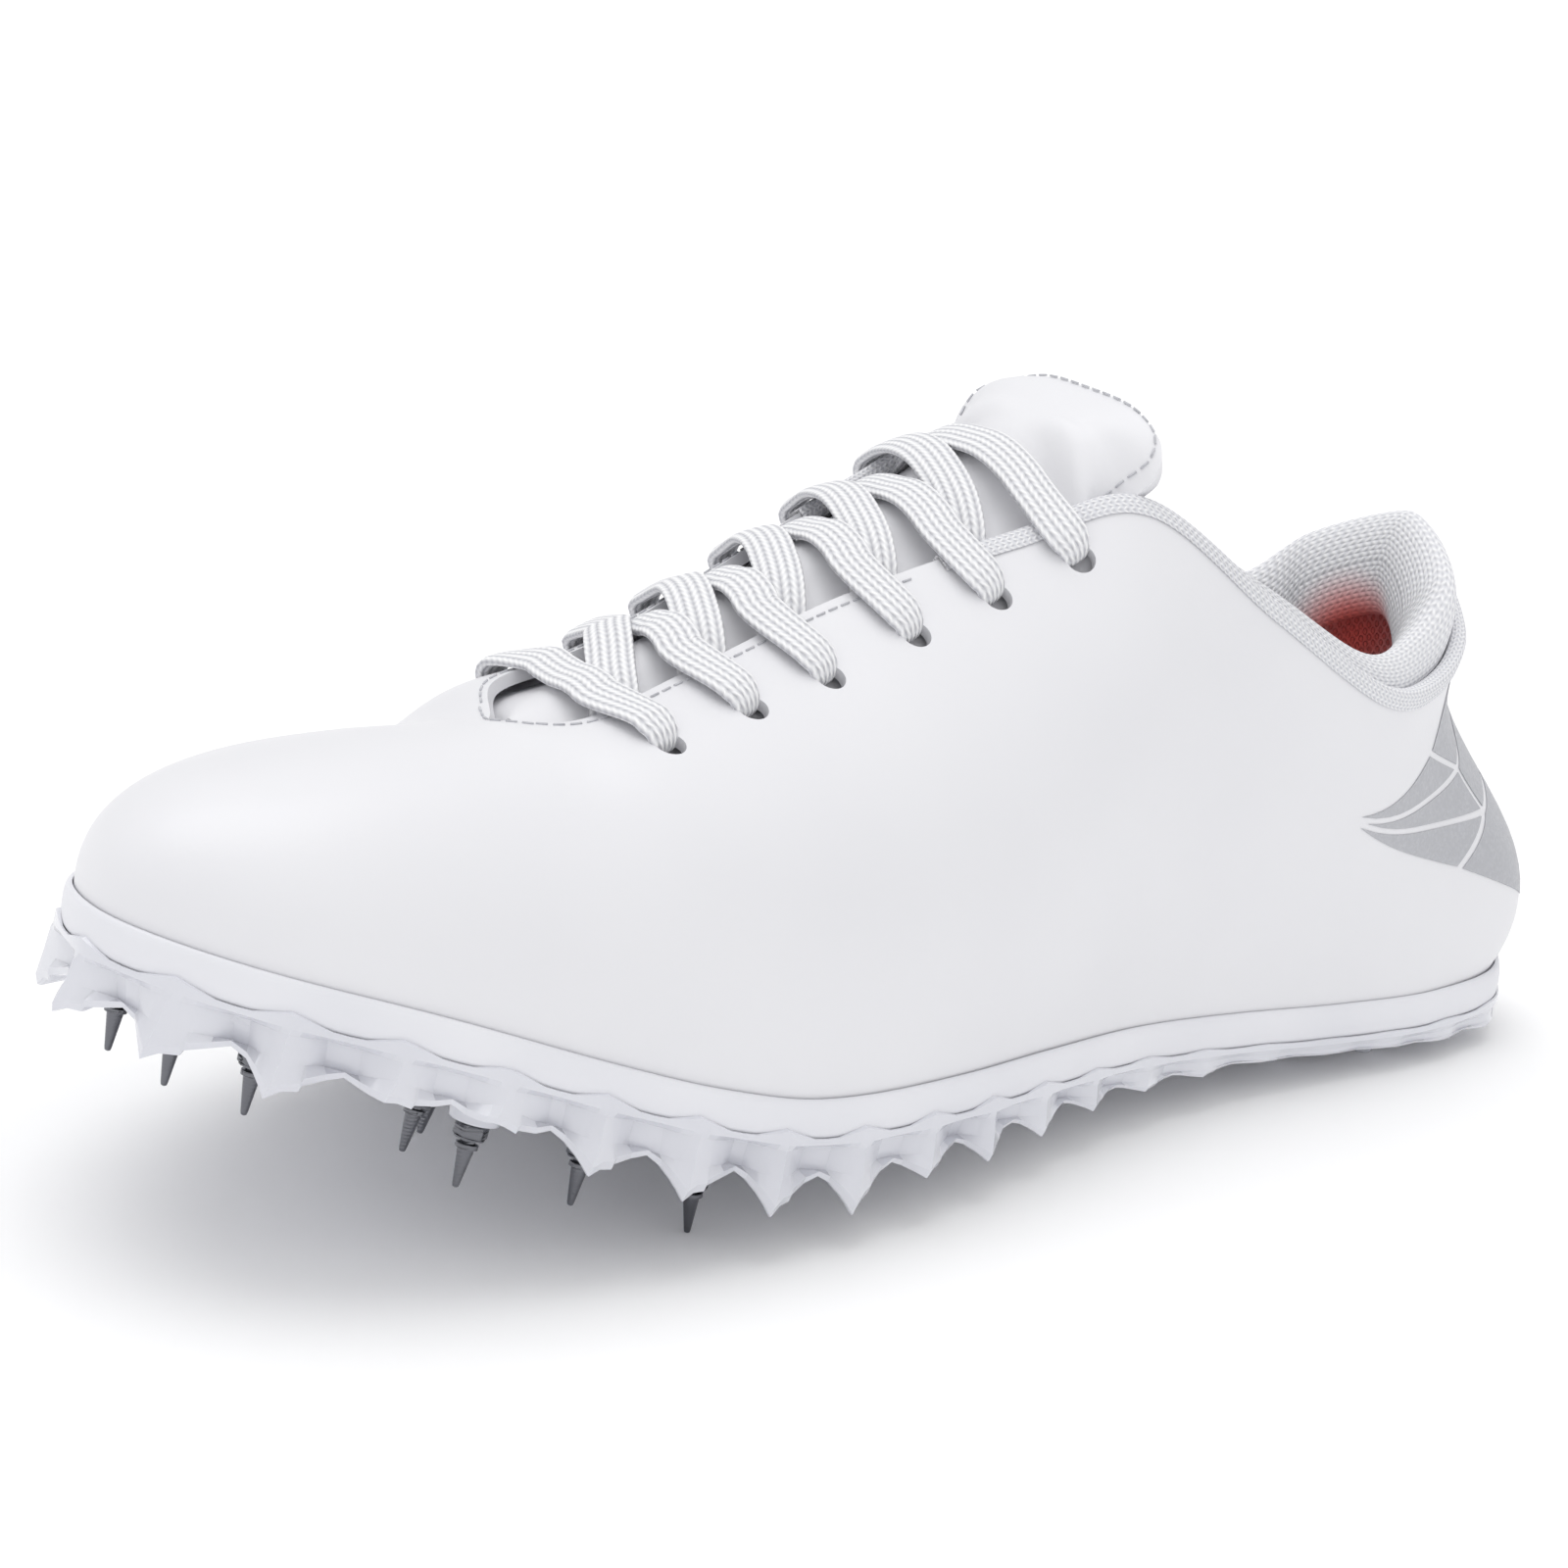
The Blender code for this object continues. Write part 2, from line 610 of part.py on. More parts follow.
def heel_lugs(collection):
    """Blunt six-sided lugs whose flat ends stand on the floor under the heel."""
    work = bmesh.new()
    for lug in HEEL_LUGS:
        x, y = LENGTH * (0.5 - lug.along), BALL_WIDTH * lug.across
        top = plate_core(x, LUG_RADIUS)
        middle = Matrix.Translation((x, y, top / 2))
        bmesh.ops.create_cone(work, cap_ends=True, segments=LUG_SIDES, radius1=LUG_FLAT_RADIUS,
                              radius2=LUG_RADIUS, depth=top, matrix=middle)
    return new_cutter("heel_lugs", work, collection)


def make_insole(collection):
    """Thin insole on the midsole's seat, clear of the upper's wall."""
    places = even_places()
    inset = LIP_WIDTH + 3 * CLEARANCE + UPPER_WALL + INSOLE_ROOM
    seat = BAND_HEIGHT - LIP_HEIGHT + CLEARANCE
    work = bmesh.new()
    rows = ((inset, seat), (inset, seat + INSOLE_THICKNESS))
    lines = loft(work, [[edge_point(place, *row) for place in places[::2]] for row in rows])
    ladder(work, lines[0], lambda k, near, far: [], True)
    ladder(work, lines[-1], lambda k, near, far: [], False)
    return new_object("insole", work, collection, LINING_WHITE)


def tongue_row(rib):
    """Points across the tongue's outer face where it lies under the upper at a rib."""
    depth = UPPER_WALL + 2 * CLEARANCE
    near = [inside(rib, share, depth) for share in TONGUE_HEM]
    far = [inside(mirrored(rib), share, depth) for share in reversed(TONGUE_HEM)]
    middle_x = (near[-1].x + far[0].x) / 2
    crest = table_value(TONGUE_CREST, along_of(middle_x), 1) * INSTEP_HEIGHT
    span = []
    for k in range(1, TONGUE_SPAN + 1):
        share = k / (TONGUE_SPAN + 1)
        point = near[-1].lerp(far[0], share)
        hump = (1 - (2 * share - 1) ** 2) ** TONGUE_HUMP_POWER
        point.z += hump * max(crest - (near[-1].z + far[0].z) / 2, 0)
        span.append(point)
    return near + span + far


def make_tongue(collection):
    """Tongue from under the vamp, through the throat, to its free arched top."""
    rows = [tongue_row(rib) for rib in TONGUE_RIBS]
    count = len(rows[0])
    for top in TONGUE_TOP:
        row = []
        for k in range(count):
            share = 2 * k / (count - 1) - 1
            height = top.crest + (top.edge - top.crest) * share ** TONGUE_EDGE_POWER + top.tilt * share
            across = top.middle + share * top.half_width
            row.append(Vector((LENGTH * (0.5 - top.along), BALL_WIDTH * across, INSTEP_HEIGHT * height)))
        rows.append(row)
    work = bmesh.new()
    grid = [[work.verts.new(point) for point in row] for row in rows]
    for low, high in zip(grid, grid[1:]):
        for a, b, c, d in zip(low, low[1:], high[1:], high):
            work.faces.new((a, d, c, b))
    item = new_object("tongue", work, collection, WHITE_PU)
    wall = item.modifiers.new("wall", "SOLIDIFY")
    wall.thickness = TONGUE_THICKNESS
    wall.offset = -1
    return item


def collar_swell(place):
    """Share by which the collar roll has its full heel size at a place, from 0 to 1."""
    ends = HEEL_RIB - EYESTAY_RIB
    part = 1 - abs(place - HEEL_RIB) / ends
    return min(max(part * SWELL_RATE - SWELL_START, 0), 1) ** SWELL_POWER


def collar_ring(place):
    """Section of the collar roll: it lies inside the upper's wall and stands above its edge."""
    swell = collar_swell(place)
    width = BINDING_WIDTH + (ROLL_WIDTH - BINDING_WIDTH) * swell
    rise = BINDING_RISE + (ROLL_RISE - BINDING_RISE) * swell
    depth = BINDING_DEPTH + (ROLL_DEPTH - BINDING_DEPTH) * swell
    edge = surface(place, 1)
    normal = surface_normal(place, 0.99)
    up = (edge - surface(place, 0.97)).normalized()
    ring = []
    for k in range(CUFF_SIDES):
        angle = 2 * math.pi * (k + 0.5) / CUFF_SIDES
        across = UPPER_WALL + 2 * CLEARANCE + width / 2 * (1 + math.cos(angle))
        high = (rise - depth) / 2 + (rise + depth) / 2 * math.sin(angle)
        ring.append(edge - normal * across + up * high)
    return ring


def make_cuff(collection):
    """Padded knit roll round the collar, thick at the heel and thin at the eyestays."""
    work = bmesh.new()
    start, end = EYESTAY_RIB + CUFF_END, mirrored(EYESTAY_RIB) - CUFF_END
    places = [start + (end - start) * k / CUFF_STEPS for k in range(CUFF_STEPS + 1)]
    lines = loft(work, [collar_ring(place) for place in places])
    work.faces.new(reversed(lines[0]))
    work.faces.new(lines[-1])
    bmesh.ops.recalc_face_normals(work, faces=work.faces)
    return new_object("collar_cuff", work, collection, WHITE_KNIT)


def over_throat(rib, share, height, lifted):
    """Point over the upper and throat at a rib, from an eyelet on the inner side to the outer.

    share runs from 0 to 1 between the two eyelets, and lifted is the height above the surface.
    """
    if share < LACE_FLY:
        level = height + (1 - height) * share / LACE_FLY
        return inside(rib, level, -lifted)
    if share > 1 - LACE_FLY:
        level = height + (1 - height) * (1 - share) / LACE_FLY
        return inside(mirrored(rib), level, -lifted)
    near, far = inside(rib, 1, -lifted), inside(mirrored(rib), 1, -lifted)
    part = (share - LACE_FLY) / (1 - 2 * LACE_FLY)
    point = near.lerp(far, part)
    crest = table_value(TONGUE_CREST, along_of(point.x), 1) * INSTEP_HEIGHT + lifted
    hump = 1 - (2 * part - 1) ** 2
    point.z += hump * max(crest - (near.z + far.z) / 2, 0)
    return point


def lace_band(work, start, end, span, lifted):
    """Flat band of lace over the throat, between two shares of the way from start to end."""
    rings = []
    path = []
    for k in range(LACE_STEPS + 1):
        share = span[0] + (span[1] - span[0]) * k / LACE_STEPS
        rib = start.rib + (end.rib - start.rib) * share
        height = start.height + (end.height - start.height) * share
        hump = math.sin(math.pi * share)
        base = CLEARANCE * 2 + LACE_THICKNESS / 2 + lifted * hump ** CROSSING_POWER
        path.append((over_throat(rib, share, height, base), rib, share, height))
    for k, (point, rib, share, height) in enumerate(path):
        ahead = path[min(k + 1, LACE_STEPS)][0] - path[max(k - 1, 0)][0]
        run = (over_throat(rib + NEAR_RIB, share, height, 0)
               - over_throat(rib - NEAR_RIB, share, height, 0))
        up = run.cross(ahead).normalized()
        if up.z < 0:
            up = -up
        side = up.cross(ahead).normalized() * LACE_WIDTH / 2
        thick = up * LACE_THICKNESS / 2
        corners = ((1, 0), (LACE_FLAT, 1), (-LACE_FLAT, 1), (-1, 0), (-LACE_FLAT, -1), (LACE_FLAT, -1))
        rings.append([point + side * a + thick * b for a, b in corners])
    lines = loft(work, rings)
    work.faces.new(reversed(lines[0]))
    work.faces.new(lines[-1])
    bmesh.ops.recalc_face_normals(work, faces=work.faces)


def make_laces(collection, cutters):
    """One lace: a bar over each pair of eyelets and a diagonal to the next, joined where they meet."""
    first, last = LACE_END, 1 - LACE_END
    work = bmesh.new()
    lace_band(work, EYELETS[0], EYELETS[0], (first, last), 0)
    item = new_object("laces", work, collection, LACE_WHITE)
    for k, (low, high) in enumerate(zip(EYELETS, EYELETS[1:])):
        diagonal, bar = bmesh.new(), bmesh.new()
        lace_band(diagonal, low, high, (LACE_FLY, last), LACE_OVER)
        lace_band(bar, high, high, (first, 1 - LACE_FLY), 0)
        add_boolean(item, new_cutter(f"lace_diagonal_{k + 1}", diagonal, cutters), "UNION")
        add_boolean(item, new_cutter(f"lace_bar_{k + 2}", bar, cutters), "UNION")
    return item


def make_pins(collection):
    """Screw-in spike pins: a six-sided base and a tapered point."""
    for pin in PINS:
        place = pin_frame(pin)
        work = bmesh.new()
        rows = (
            (HEX_RADIUS, PIN_LENGTH + HEX_HEIGHT),
            (HEX_RADIUS, PIN_LENGTH),
            (PIN_BASE_RADIUS, PIN_LENGTH),
            (PIN_BASE_RADIUS, PIN_LENGTH * PIN_SHOULDER),
            (PIN_TIP_RADIUS, 0),
        )
        rings = []
        for radius, height in rows:
            angles = [2 * math.pi * k / PIN_SIDES for k in range(PIN_SIDES)]
            rings.append([place @ Vector((radius * math.cos(a), radius * math.sin(a), height))
                          for a in angles])
        lines = loft(work, rings)
        work.faces.new(lines[0])
        work.faces.new(reversed(lines[-1]))
        bmesh.ops.recalc_face_normals(work, faces=work.faces)
        new_object("spike_" + pin.name, work, collection, PIN_STEEL)


def stand_on_origin(parts, cutters):
    """Put the middle of the shoe's box over the origin, with everything under one empty."""
    bpy.context.view_layer.update()
    graph = bpy.context.evaluated_depsgraph_get()
    corners = [Vector(corner) for item in parts.objects for corner in item.evaluated_get(graph).bound_box]
    frame = bpy.data.objects.new("shoe_frame", None)
    parts.objects.link(frame)
    for axis in (0, 1):
        places = [corner[axis] for corner in corners]
        frame.location[axis] = -(min(places) + max(places)) / 2
    for item in list(parts.objects) + list(cutters.objects):
        if item is not frame:
            item.parent = frame


def main():
    """Build every piece of the shoe."""
    clear_scene()
    parts = new_collection("track_spike_shoe")
    cutters = new_collection("cutters")
    make_upper(parts, cutters)
    make_midsole(parts)
    make_outsole(parts, cutters)
    make_insole(parts)
    make_tongue(parts)
    make_cuff(parts)
    make_laces(parts, cutters)
    make_pins(parts)
    stand_on_origin(parts, cutters)


main()
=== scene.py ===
"""Looks of the track spike shoe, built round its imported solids.

The toe points to -X, the inner side of the foot is -Y and +Z is up, in metres. The last (the form
that a shoemaker works on) gives every piece its shape: each piece starts as a Blender primitive,
is shaped on the last in its own directions, and is finished with modifiers that are applied.
"""

import logging
import math
from collections import namedtuple
from dataclasses import dataclass, field
from enum import Enum
from functools import lru_cache
from typing import Any, Callable, Iterable, Optional, Sequence

import bpy
import numpy as np
from mathutils import Matrix, Vector


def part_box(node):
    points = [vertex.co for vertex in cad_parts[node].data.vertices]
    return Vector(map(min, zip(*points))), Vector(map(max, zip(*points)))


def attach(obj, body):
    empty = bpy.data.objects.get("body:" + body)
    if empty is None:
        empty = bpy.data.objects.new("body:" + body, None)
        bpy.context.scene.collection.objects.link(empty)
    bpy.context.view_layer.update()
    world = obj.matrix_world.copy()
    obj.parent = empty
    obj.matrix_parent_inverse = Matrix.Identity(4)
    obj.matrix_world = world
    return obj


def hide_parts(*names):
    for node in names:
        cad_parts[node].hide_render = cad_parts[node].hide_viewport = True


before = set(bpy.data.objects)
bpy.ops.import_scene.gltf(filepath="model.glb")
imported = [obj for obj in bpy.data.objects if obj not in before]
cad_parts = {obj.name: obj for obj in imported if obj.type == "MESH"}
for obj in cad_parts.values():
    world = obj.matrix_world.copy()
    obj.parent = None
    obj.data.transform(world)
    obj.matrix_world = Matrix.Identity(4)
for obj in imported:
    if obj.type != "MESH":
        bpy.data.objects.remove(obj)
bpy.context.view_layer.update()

logging.basicConfig(level=logging.INFO, format="%(name)s: %(message)s")
log = logging.getLogger("track_spike_shoe")

MM = 0.001
BODY = "root"

# Driving sizes and tables, the same as the solids'
LENGTH = 279 * MM
BALL_WIDTH = 94 * MM
INSTEP_HEIGHT = 94.5 * MM
HEEL_HEIGHT = 77 * MM
BALL_LIFT = 16 * MM
HEEL_LIFT = 6.4 * MM
TOE_LIFT = 42.5 * MM
UPPER_WALL = 1.8 * MM
CLEARANCE = 0.3 * MM
BAND_HEIGHT = 5.9 * MM
LIP_HEIGHT = 1.3 * MM
LIP_WIDTH = 0.9 * MM
FOOT_GAP = 1.5 * CLEARANCE
PLATE_THICKNESS = 1.6 * MM

# One row for each rib round the last, from the toe tip along the inner side and back on the outer
# side: foot and top of the rib as shares of LENGTH, BALL_WIDTH and the two heights, then degrees
# that turn and lean its top and flare its foot, and the reach of its two curve handles.
Rib = namedtuple("Rib", "along across top_along top_across instep heel turn lean flare low high")
RIBS = (
    Rib(1.000, -0.110, 0.880, -0.070, 0.684, 0.000, 0, 3, 88, 0.42, 0.44),
    Rib(0.988, -0.230, 0.870, -0.070, 0.688, 0.000, 30, -2, 88, 0.42, 0.44),
    Rib(0.948, -0.340, 0.850, -0.070, 0.692, 0.000, 65, -6, 88, 0.42, 0.44),
    Rib(0.885, -0.408, 0.815, -0.070, 0.698, 0.000, 82, -10, 85, 0.42, 0.44),
    Rib(0.805, -0.455, 0.780, -0.070, 0.704, 0.000, 90, -12, 84, 0.42, 0.44),
    Rib(0.725, -0.485, 0.745, -0.150, 0.720, 0.000, 90, -2, 82, 0.42, 0.46),
    Rib(0.645, -0.490, 0.680, -0.130, 0.768, 0.000, 90, 10, 82, 0.42, 0.46),
    Rib(0.560, -0.455, 0.575, -0.105, 0.860, 0.000, 90, 25, 82, 0.42, 0.44),
    Rib(0.470, -0.385, 0.465, -0.120, 0.942, 0.000, 90, 35, 80, 0.42, 0.42),
    Rib(0.380, -0.320, 0.392, -0.175, 1.000, 0.000, 90, 55, 84, 0.42, 0.40),
    Rib(0.290, -0.290, 0.310, -0.265, 0.430, 0.505, 90, 82, 86, 0.40, 0.38),
    Rib(0.205, -0.285, 0.222, -0.295, 0.000, 0.850, 90, 88, 88, 0.40, 0.38),
    Rib(0.120, -0.278, 0.158, -0.250, 0.000, 0.835, 100, 100, 84, 0.40, 0.38),
    Rib(0.040, -0.210, 0.114, -0.175, 0.000, 0.910, 130, 108, 62, 0.42, 0.42),
    Rib(0.000, 0.000, 0.088, 0.000, 0.000, 1.000, 180, 104, 45, 0.42, 0.42),
    Rib(0.040, 0.210, 0.114, 0.175, 0.000, 0.910, 130, 108, 62, 0.42, 0.42),
    Rib(0.120, 0.290, 0.158, 0.250, 0.000, 0.830, 100, 100, 84, 0.40, 0.38),
    Rib(0.205, 0.305, 0.222, 0.295, 0.000, 0.830, 90, 88, 88, 0.40, 0.38),
    Rib(0.290, 0.325, 0.310, 0.265, 0.420, 0.484, 90, 82, 88, 0.40, 0.38),
    Rib(0.380, 0.350, 0.392, 0.275, 1.000, 0.000, 90, 55, 88, 0.42, 0.40),
    Rib(0.465, 0.400, 0.465, 0.258, 0.944, 0.000, 90, 38, 88, 0.38, 0.40),
    Rib(0.550, 0.460, 0.575, 0.165, 0.846, 0.000, 90, 30, 90, 0.36, 0.40),
    Rib(0.630, 0.495, 0.680, 0.075, 0.762, 0.000, 90, 22, 92, 0.34, 0.38),
    Rib(0.715, 0.480, 0.745, 0.055, 0.722, 0.000, 90, 15, 93, 0.32, 0.38),
    Rib(0.795, 0.420, 0.780, -0.070, 0.704, 0.000, 90, 12, 93, 0.32, 0.38),
    Rib(0.870, 0.330, 0.815, -0.070, 0.698, 0.000, 82, 8, 92, 0.34, 0.38),
    Rib(0.935, 0.200, 0.850, -0.070, 0.692, 0.000, 65, 6, 90, 0.38, 0.42),
    Rib(0.982, 0.045, 0.870, -0.070, 0.688, 0.000, 35, 5, 88, 0.40, 0.44),
)
RIB_COUNT = len(RIBS)
HEEL_RIB = RIB_COUNT // 2
SEAM_RIBS = 4
EYESTAY_RIB = 9
# Shares of a rib just under its top, and the step in ribs that gives the outline's direction
NEAR_RIM = 0.99
BELOW_RIM = 0.97
FINE_STEP = 0.001

# How high the sole stands along the foot, in shares of the three lifts
Lift = namedtuple("Lift", "along heel ball toe")
LIFTS = (
    Lift(0.00, 1.25, 0.000, 0.000),
    Lift(0.06, 1.00, 0.000, 0.000),
    Lift(0.20, 1.10, 0.000, 0.000),
    Lift(0.40, 0.60, 0.460, 0.000),
    Lift(0.55, 0.10, 0.835, 0.000),
    Lift(0.66, 0.00, 1.000, 0.000),
    Lift(0.72, 0.00, 0.800, 0.158),
    Lift(0.78, 0.00, 0.500, 0.388),
    Lift(0.88, 0.00, 0.150, 0.732),
    Lift(1.00, 0.00, 0.000, 1.000),
)

# Eyelets of the inner side; those of the outer side face them
Eyelet = namedtuple("Eyelet", "rib height")
EYELETS = (
    Eyelet(5.40, 0.840),
    Eyelet(6.16, 0.860),
    Eyelet(6.66, 0.860),
    Eyelet(7.22, 0.880),
    Eyelet(7.72, 0.900),
    Eyelet(8.34, 0.920),
)

# The tongue: its middle line, then rows across its free top, then the ribs that it lies under
Crest = namedtuple("Crest", "along height")
TONGUE_CREST = (
    Crest(0.430, 1.050),
    Crest(0.465, 0.993),
    Crest(0.575, 0.888),
    Crest(0.680, 0.784),
    Crest(0.745, 0.716),
    Crest(0.800, 0.680),
)
TongueTop = namedtuple("TongueTop", "along middle half_width crest edge tilt")
TONGUE_TOP = (
    TongueTop(0.412, 0.058, 0.208, 1.085, 0.925, 0.000),
    TongueTop(0.400, 0.052, 0.208, 1.105, 0.990, 0.006),
    TongueTop(0.390, 0.036, 0.222, 1.120, 1.050, 0.012),
    TongueTop(0.382, 0.022, 0.190, 1.130, 1.092, 0.008),
    TongueTop(0.377, 0.018, 0.130, 1.135, 1.118, 0.005),
)
TONGUE_RIBS = (4.4, 4.8, 5.2, 5.6, 6.0, 6.5, 7.0, 7.5, 8.0, 8.4)
TONGUE_HEM = (0.78, 0.89, 0.96, 1.0)
TONGUE_SPAN = 5

# Spike pins: those whose stands is 1 reach the floor, drop is a share of SEAT_DROP, tilt is in degrees
Pin = namedtuple("Pin", "name along across stands drop tilt")
PINS = (
    Pin("toe_outer", 0.936, 0.080, 0, 0.90, 8),
    Pin("toe_inner", 0.934, -0.060, 0, 0.92, 8),
    Pin("toe_middle", 0.909, -0.150, 0, 0.94, 8),
    Pin("front_inner", 0.828, -0.340, 0, 0.92, 12),
    Pin("front_middle", 0.821, -0.190, 0, 0.92, 14),
    Pin("middle", 0.784, -0.085, 0, 0.81, 16),
    Pin("tread_inner", 0.762, -0.345, 0, 0.83, 10),
    Pin("ball_inner", 0.700, -0.360, 1, 1.00, 0),
    Pin("ball_outer", 0.700, 0.360, 1, 1.00, 0),
)
PIN_LENGTH = 7 * MM
HEX_HEIGHT = 1.8 * MM
SEAT_DROP = 7 * MM

# Section of the edge teeth, point by point in millimetres: inset from the outline, and how the tooth's
# keel and the hollow beside it add to that; then drop under the midsole, and how the keel, the tip
# and the tooth's reach add to that; then the share of the slant.
ToothPoint = namedtuple("ToothPoint", "inset keel_in valley_in drop keel_down tip_down reach_down lean")
TOOTH_SECTION = (
    ToothPoint(2.00, 0.0, 0.0, 0.35, 0.0, 0.00, 0.0, 0.00),
    ToothPoint(0.50, 0.0, 0.0, 0.33, 0.0, 0.00, 0.0, 0.00),
    ToothPoint(0.05, 0.0, 0.0, 0.05, 0.0, 0.00, 0.0, 0.00),
    ToothPoint(0.05, 0.0, 0.0, -0.50, -1.4, 0.00, 0.0, 0.00),
    ToothPoint(-0.24, -0.3, 0.0, -0.45, -1.2, 0.00, 0.0, 0.00),
    ToothPoint(-0.32, -0.5, 0.0, 0.30, 0.0, 0.00, 0.0, 0.00),
    ToothPoint(0.00, -1.1, 1.5, 1.10, 0.0, 0.00, 0.0, 0.20),
    ToothPoint(0.00, -1.8, 2.3, 1.50, 0.0, 0.00, 0.4, 0.45),
    ToothPoint(0.00, -2.6, 0.7, 0.00, 0.0, 0.85, 0.0, 0.85),
    ToothPoint(0.25, -2.6, 0.7, 0.00, 0.0, 1.00, 0.0, 1.00),
    ToothPoint(0.80, -2.6, 0.7, 0.00, 0.0, 1.00, 0.0, 1.00),
    ToothPoint(4.80, 0.0, 0.0, 0.60, 0.0, 0.55, 0.0, 0.50),
    ToothPoint(7.50, 0.0, 0.0, 2.10, 0.0, 0.00, 0.0, 0.00),
    ToothPoint(7.50, 0.0, 0.0, 0.50, 0.0, 0.00, 0.0, 0.00),
)

# Warm patch of the lining: place, share and height of its middle, its reach, and where it fades
PATCH_MIDDLE = (14.5, 0.85, -8 * MM)
PATCH_REACH = (8 * MM, 9 * MM, 10 * MM)
PATCH_EDGE = 1.55


def spline_weights(part: float) -> tuple[float, float, float, float]:
    """Weights of four rows in a row for a curve that runs through the middle two.

    Args:
        part: share of the way from the second row to the third.

    Returns:
        One weight for each row.
    """
    square, cube = part ** 2, part ** 3
    return (0.5 * (-cube + 2 * square - part), 0.5 * (3 * cube - 5 * square + 2),
            0.5 * (-3 * cube + 4 * square + part), 0.5 * (cube - square))


def between(start: Any, end: Any, leave: Any, arrive: Any, part: float) -> Any:
    """Point of a smooth curve from one number or vector to another.

    Args:
        start: where the curve starts.
        end: where it ends.
        leave: slope at the start.
        arrive: slope at the end.
        part: share of the way.

    Returns:
        The number or vector there.
    """
    square, cube = part ** 2, part ** 3
    return (start * (2 * cube - 3 * square + 1) + leave * (cube - 2 * square + part)
            + end * (3 * square - 2 * cube) + arrive * (cube - square))


def ring_curve(rows: Sequence[Sequence[float]], place: float) -> list[float]:
    """Smooth curve through the rows of a closed table.

    Args:
        rows: the table, whose last row is followed by its first.
        place: where on the curve, counted in rows.

    Returns:
        The row's values at that place.
    """
    first = math.floor(place)
    weights = spline_weights(place - first)
    near = [rows[(first + step) % len(rows)] for step in (-1, 0, 1, 2)]
    return [sum(a * b for a, b in zip(weights, values)) for values in zip(*near)]


def table_value(rows: Sequence[Sequence[float]], along: float, column: int) -> float:
    """Value of one column of a table whose first column rises.

    Args:
        rows: the table.
        along: value of the first column.
        column: which column is read.

    Returns:
        The value there, smooth between the rows.
    """
    places = [row[0] for row in rows]
    values = [row[column] for row in rows]
    last = len(rows) - 1
    index = max((k for k in range(last) if places[k] <= along), default=0)
    slopes = []
    for k in (index, index + 1):
        low, high = max(k - 1, 0), min(k + 1, last)
        slopes.append((values[high] - values[low]) / (places[high] - places[low]))
    span = places[index + 1] - places[index]
    part = min(max((along - places[index]) / span, 0.0), 1.0)
    return between(values[index], values[index + 1], slopes[0] * span, slopes[1] * span, part)


def smooth_step(value: float) -> float:
    """Ease from 0 to 1 for a value from 0 to 1."""
    value = min(max(value, 0.0), 1.0)
    return value * value * (3 - 2 * value)


def mirrored(place: float) -> float:
    """Place on the other side of the shoe that faces this one."""
    return RIB_COUNT - place


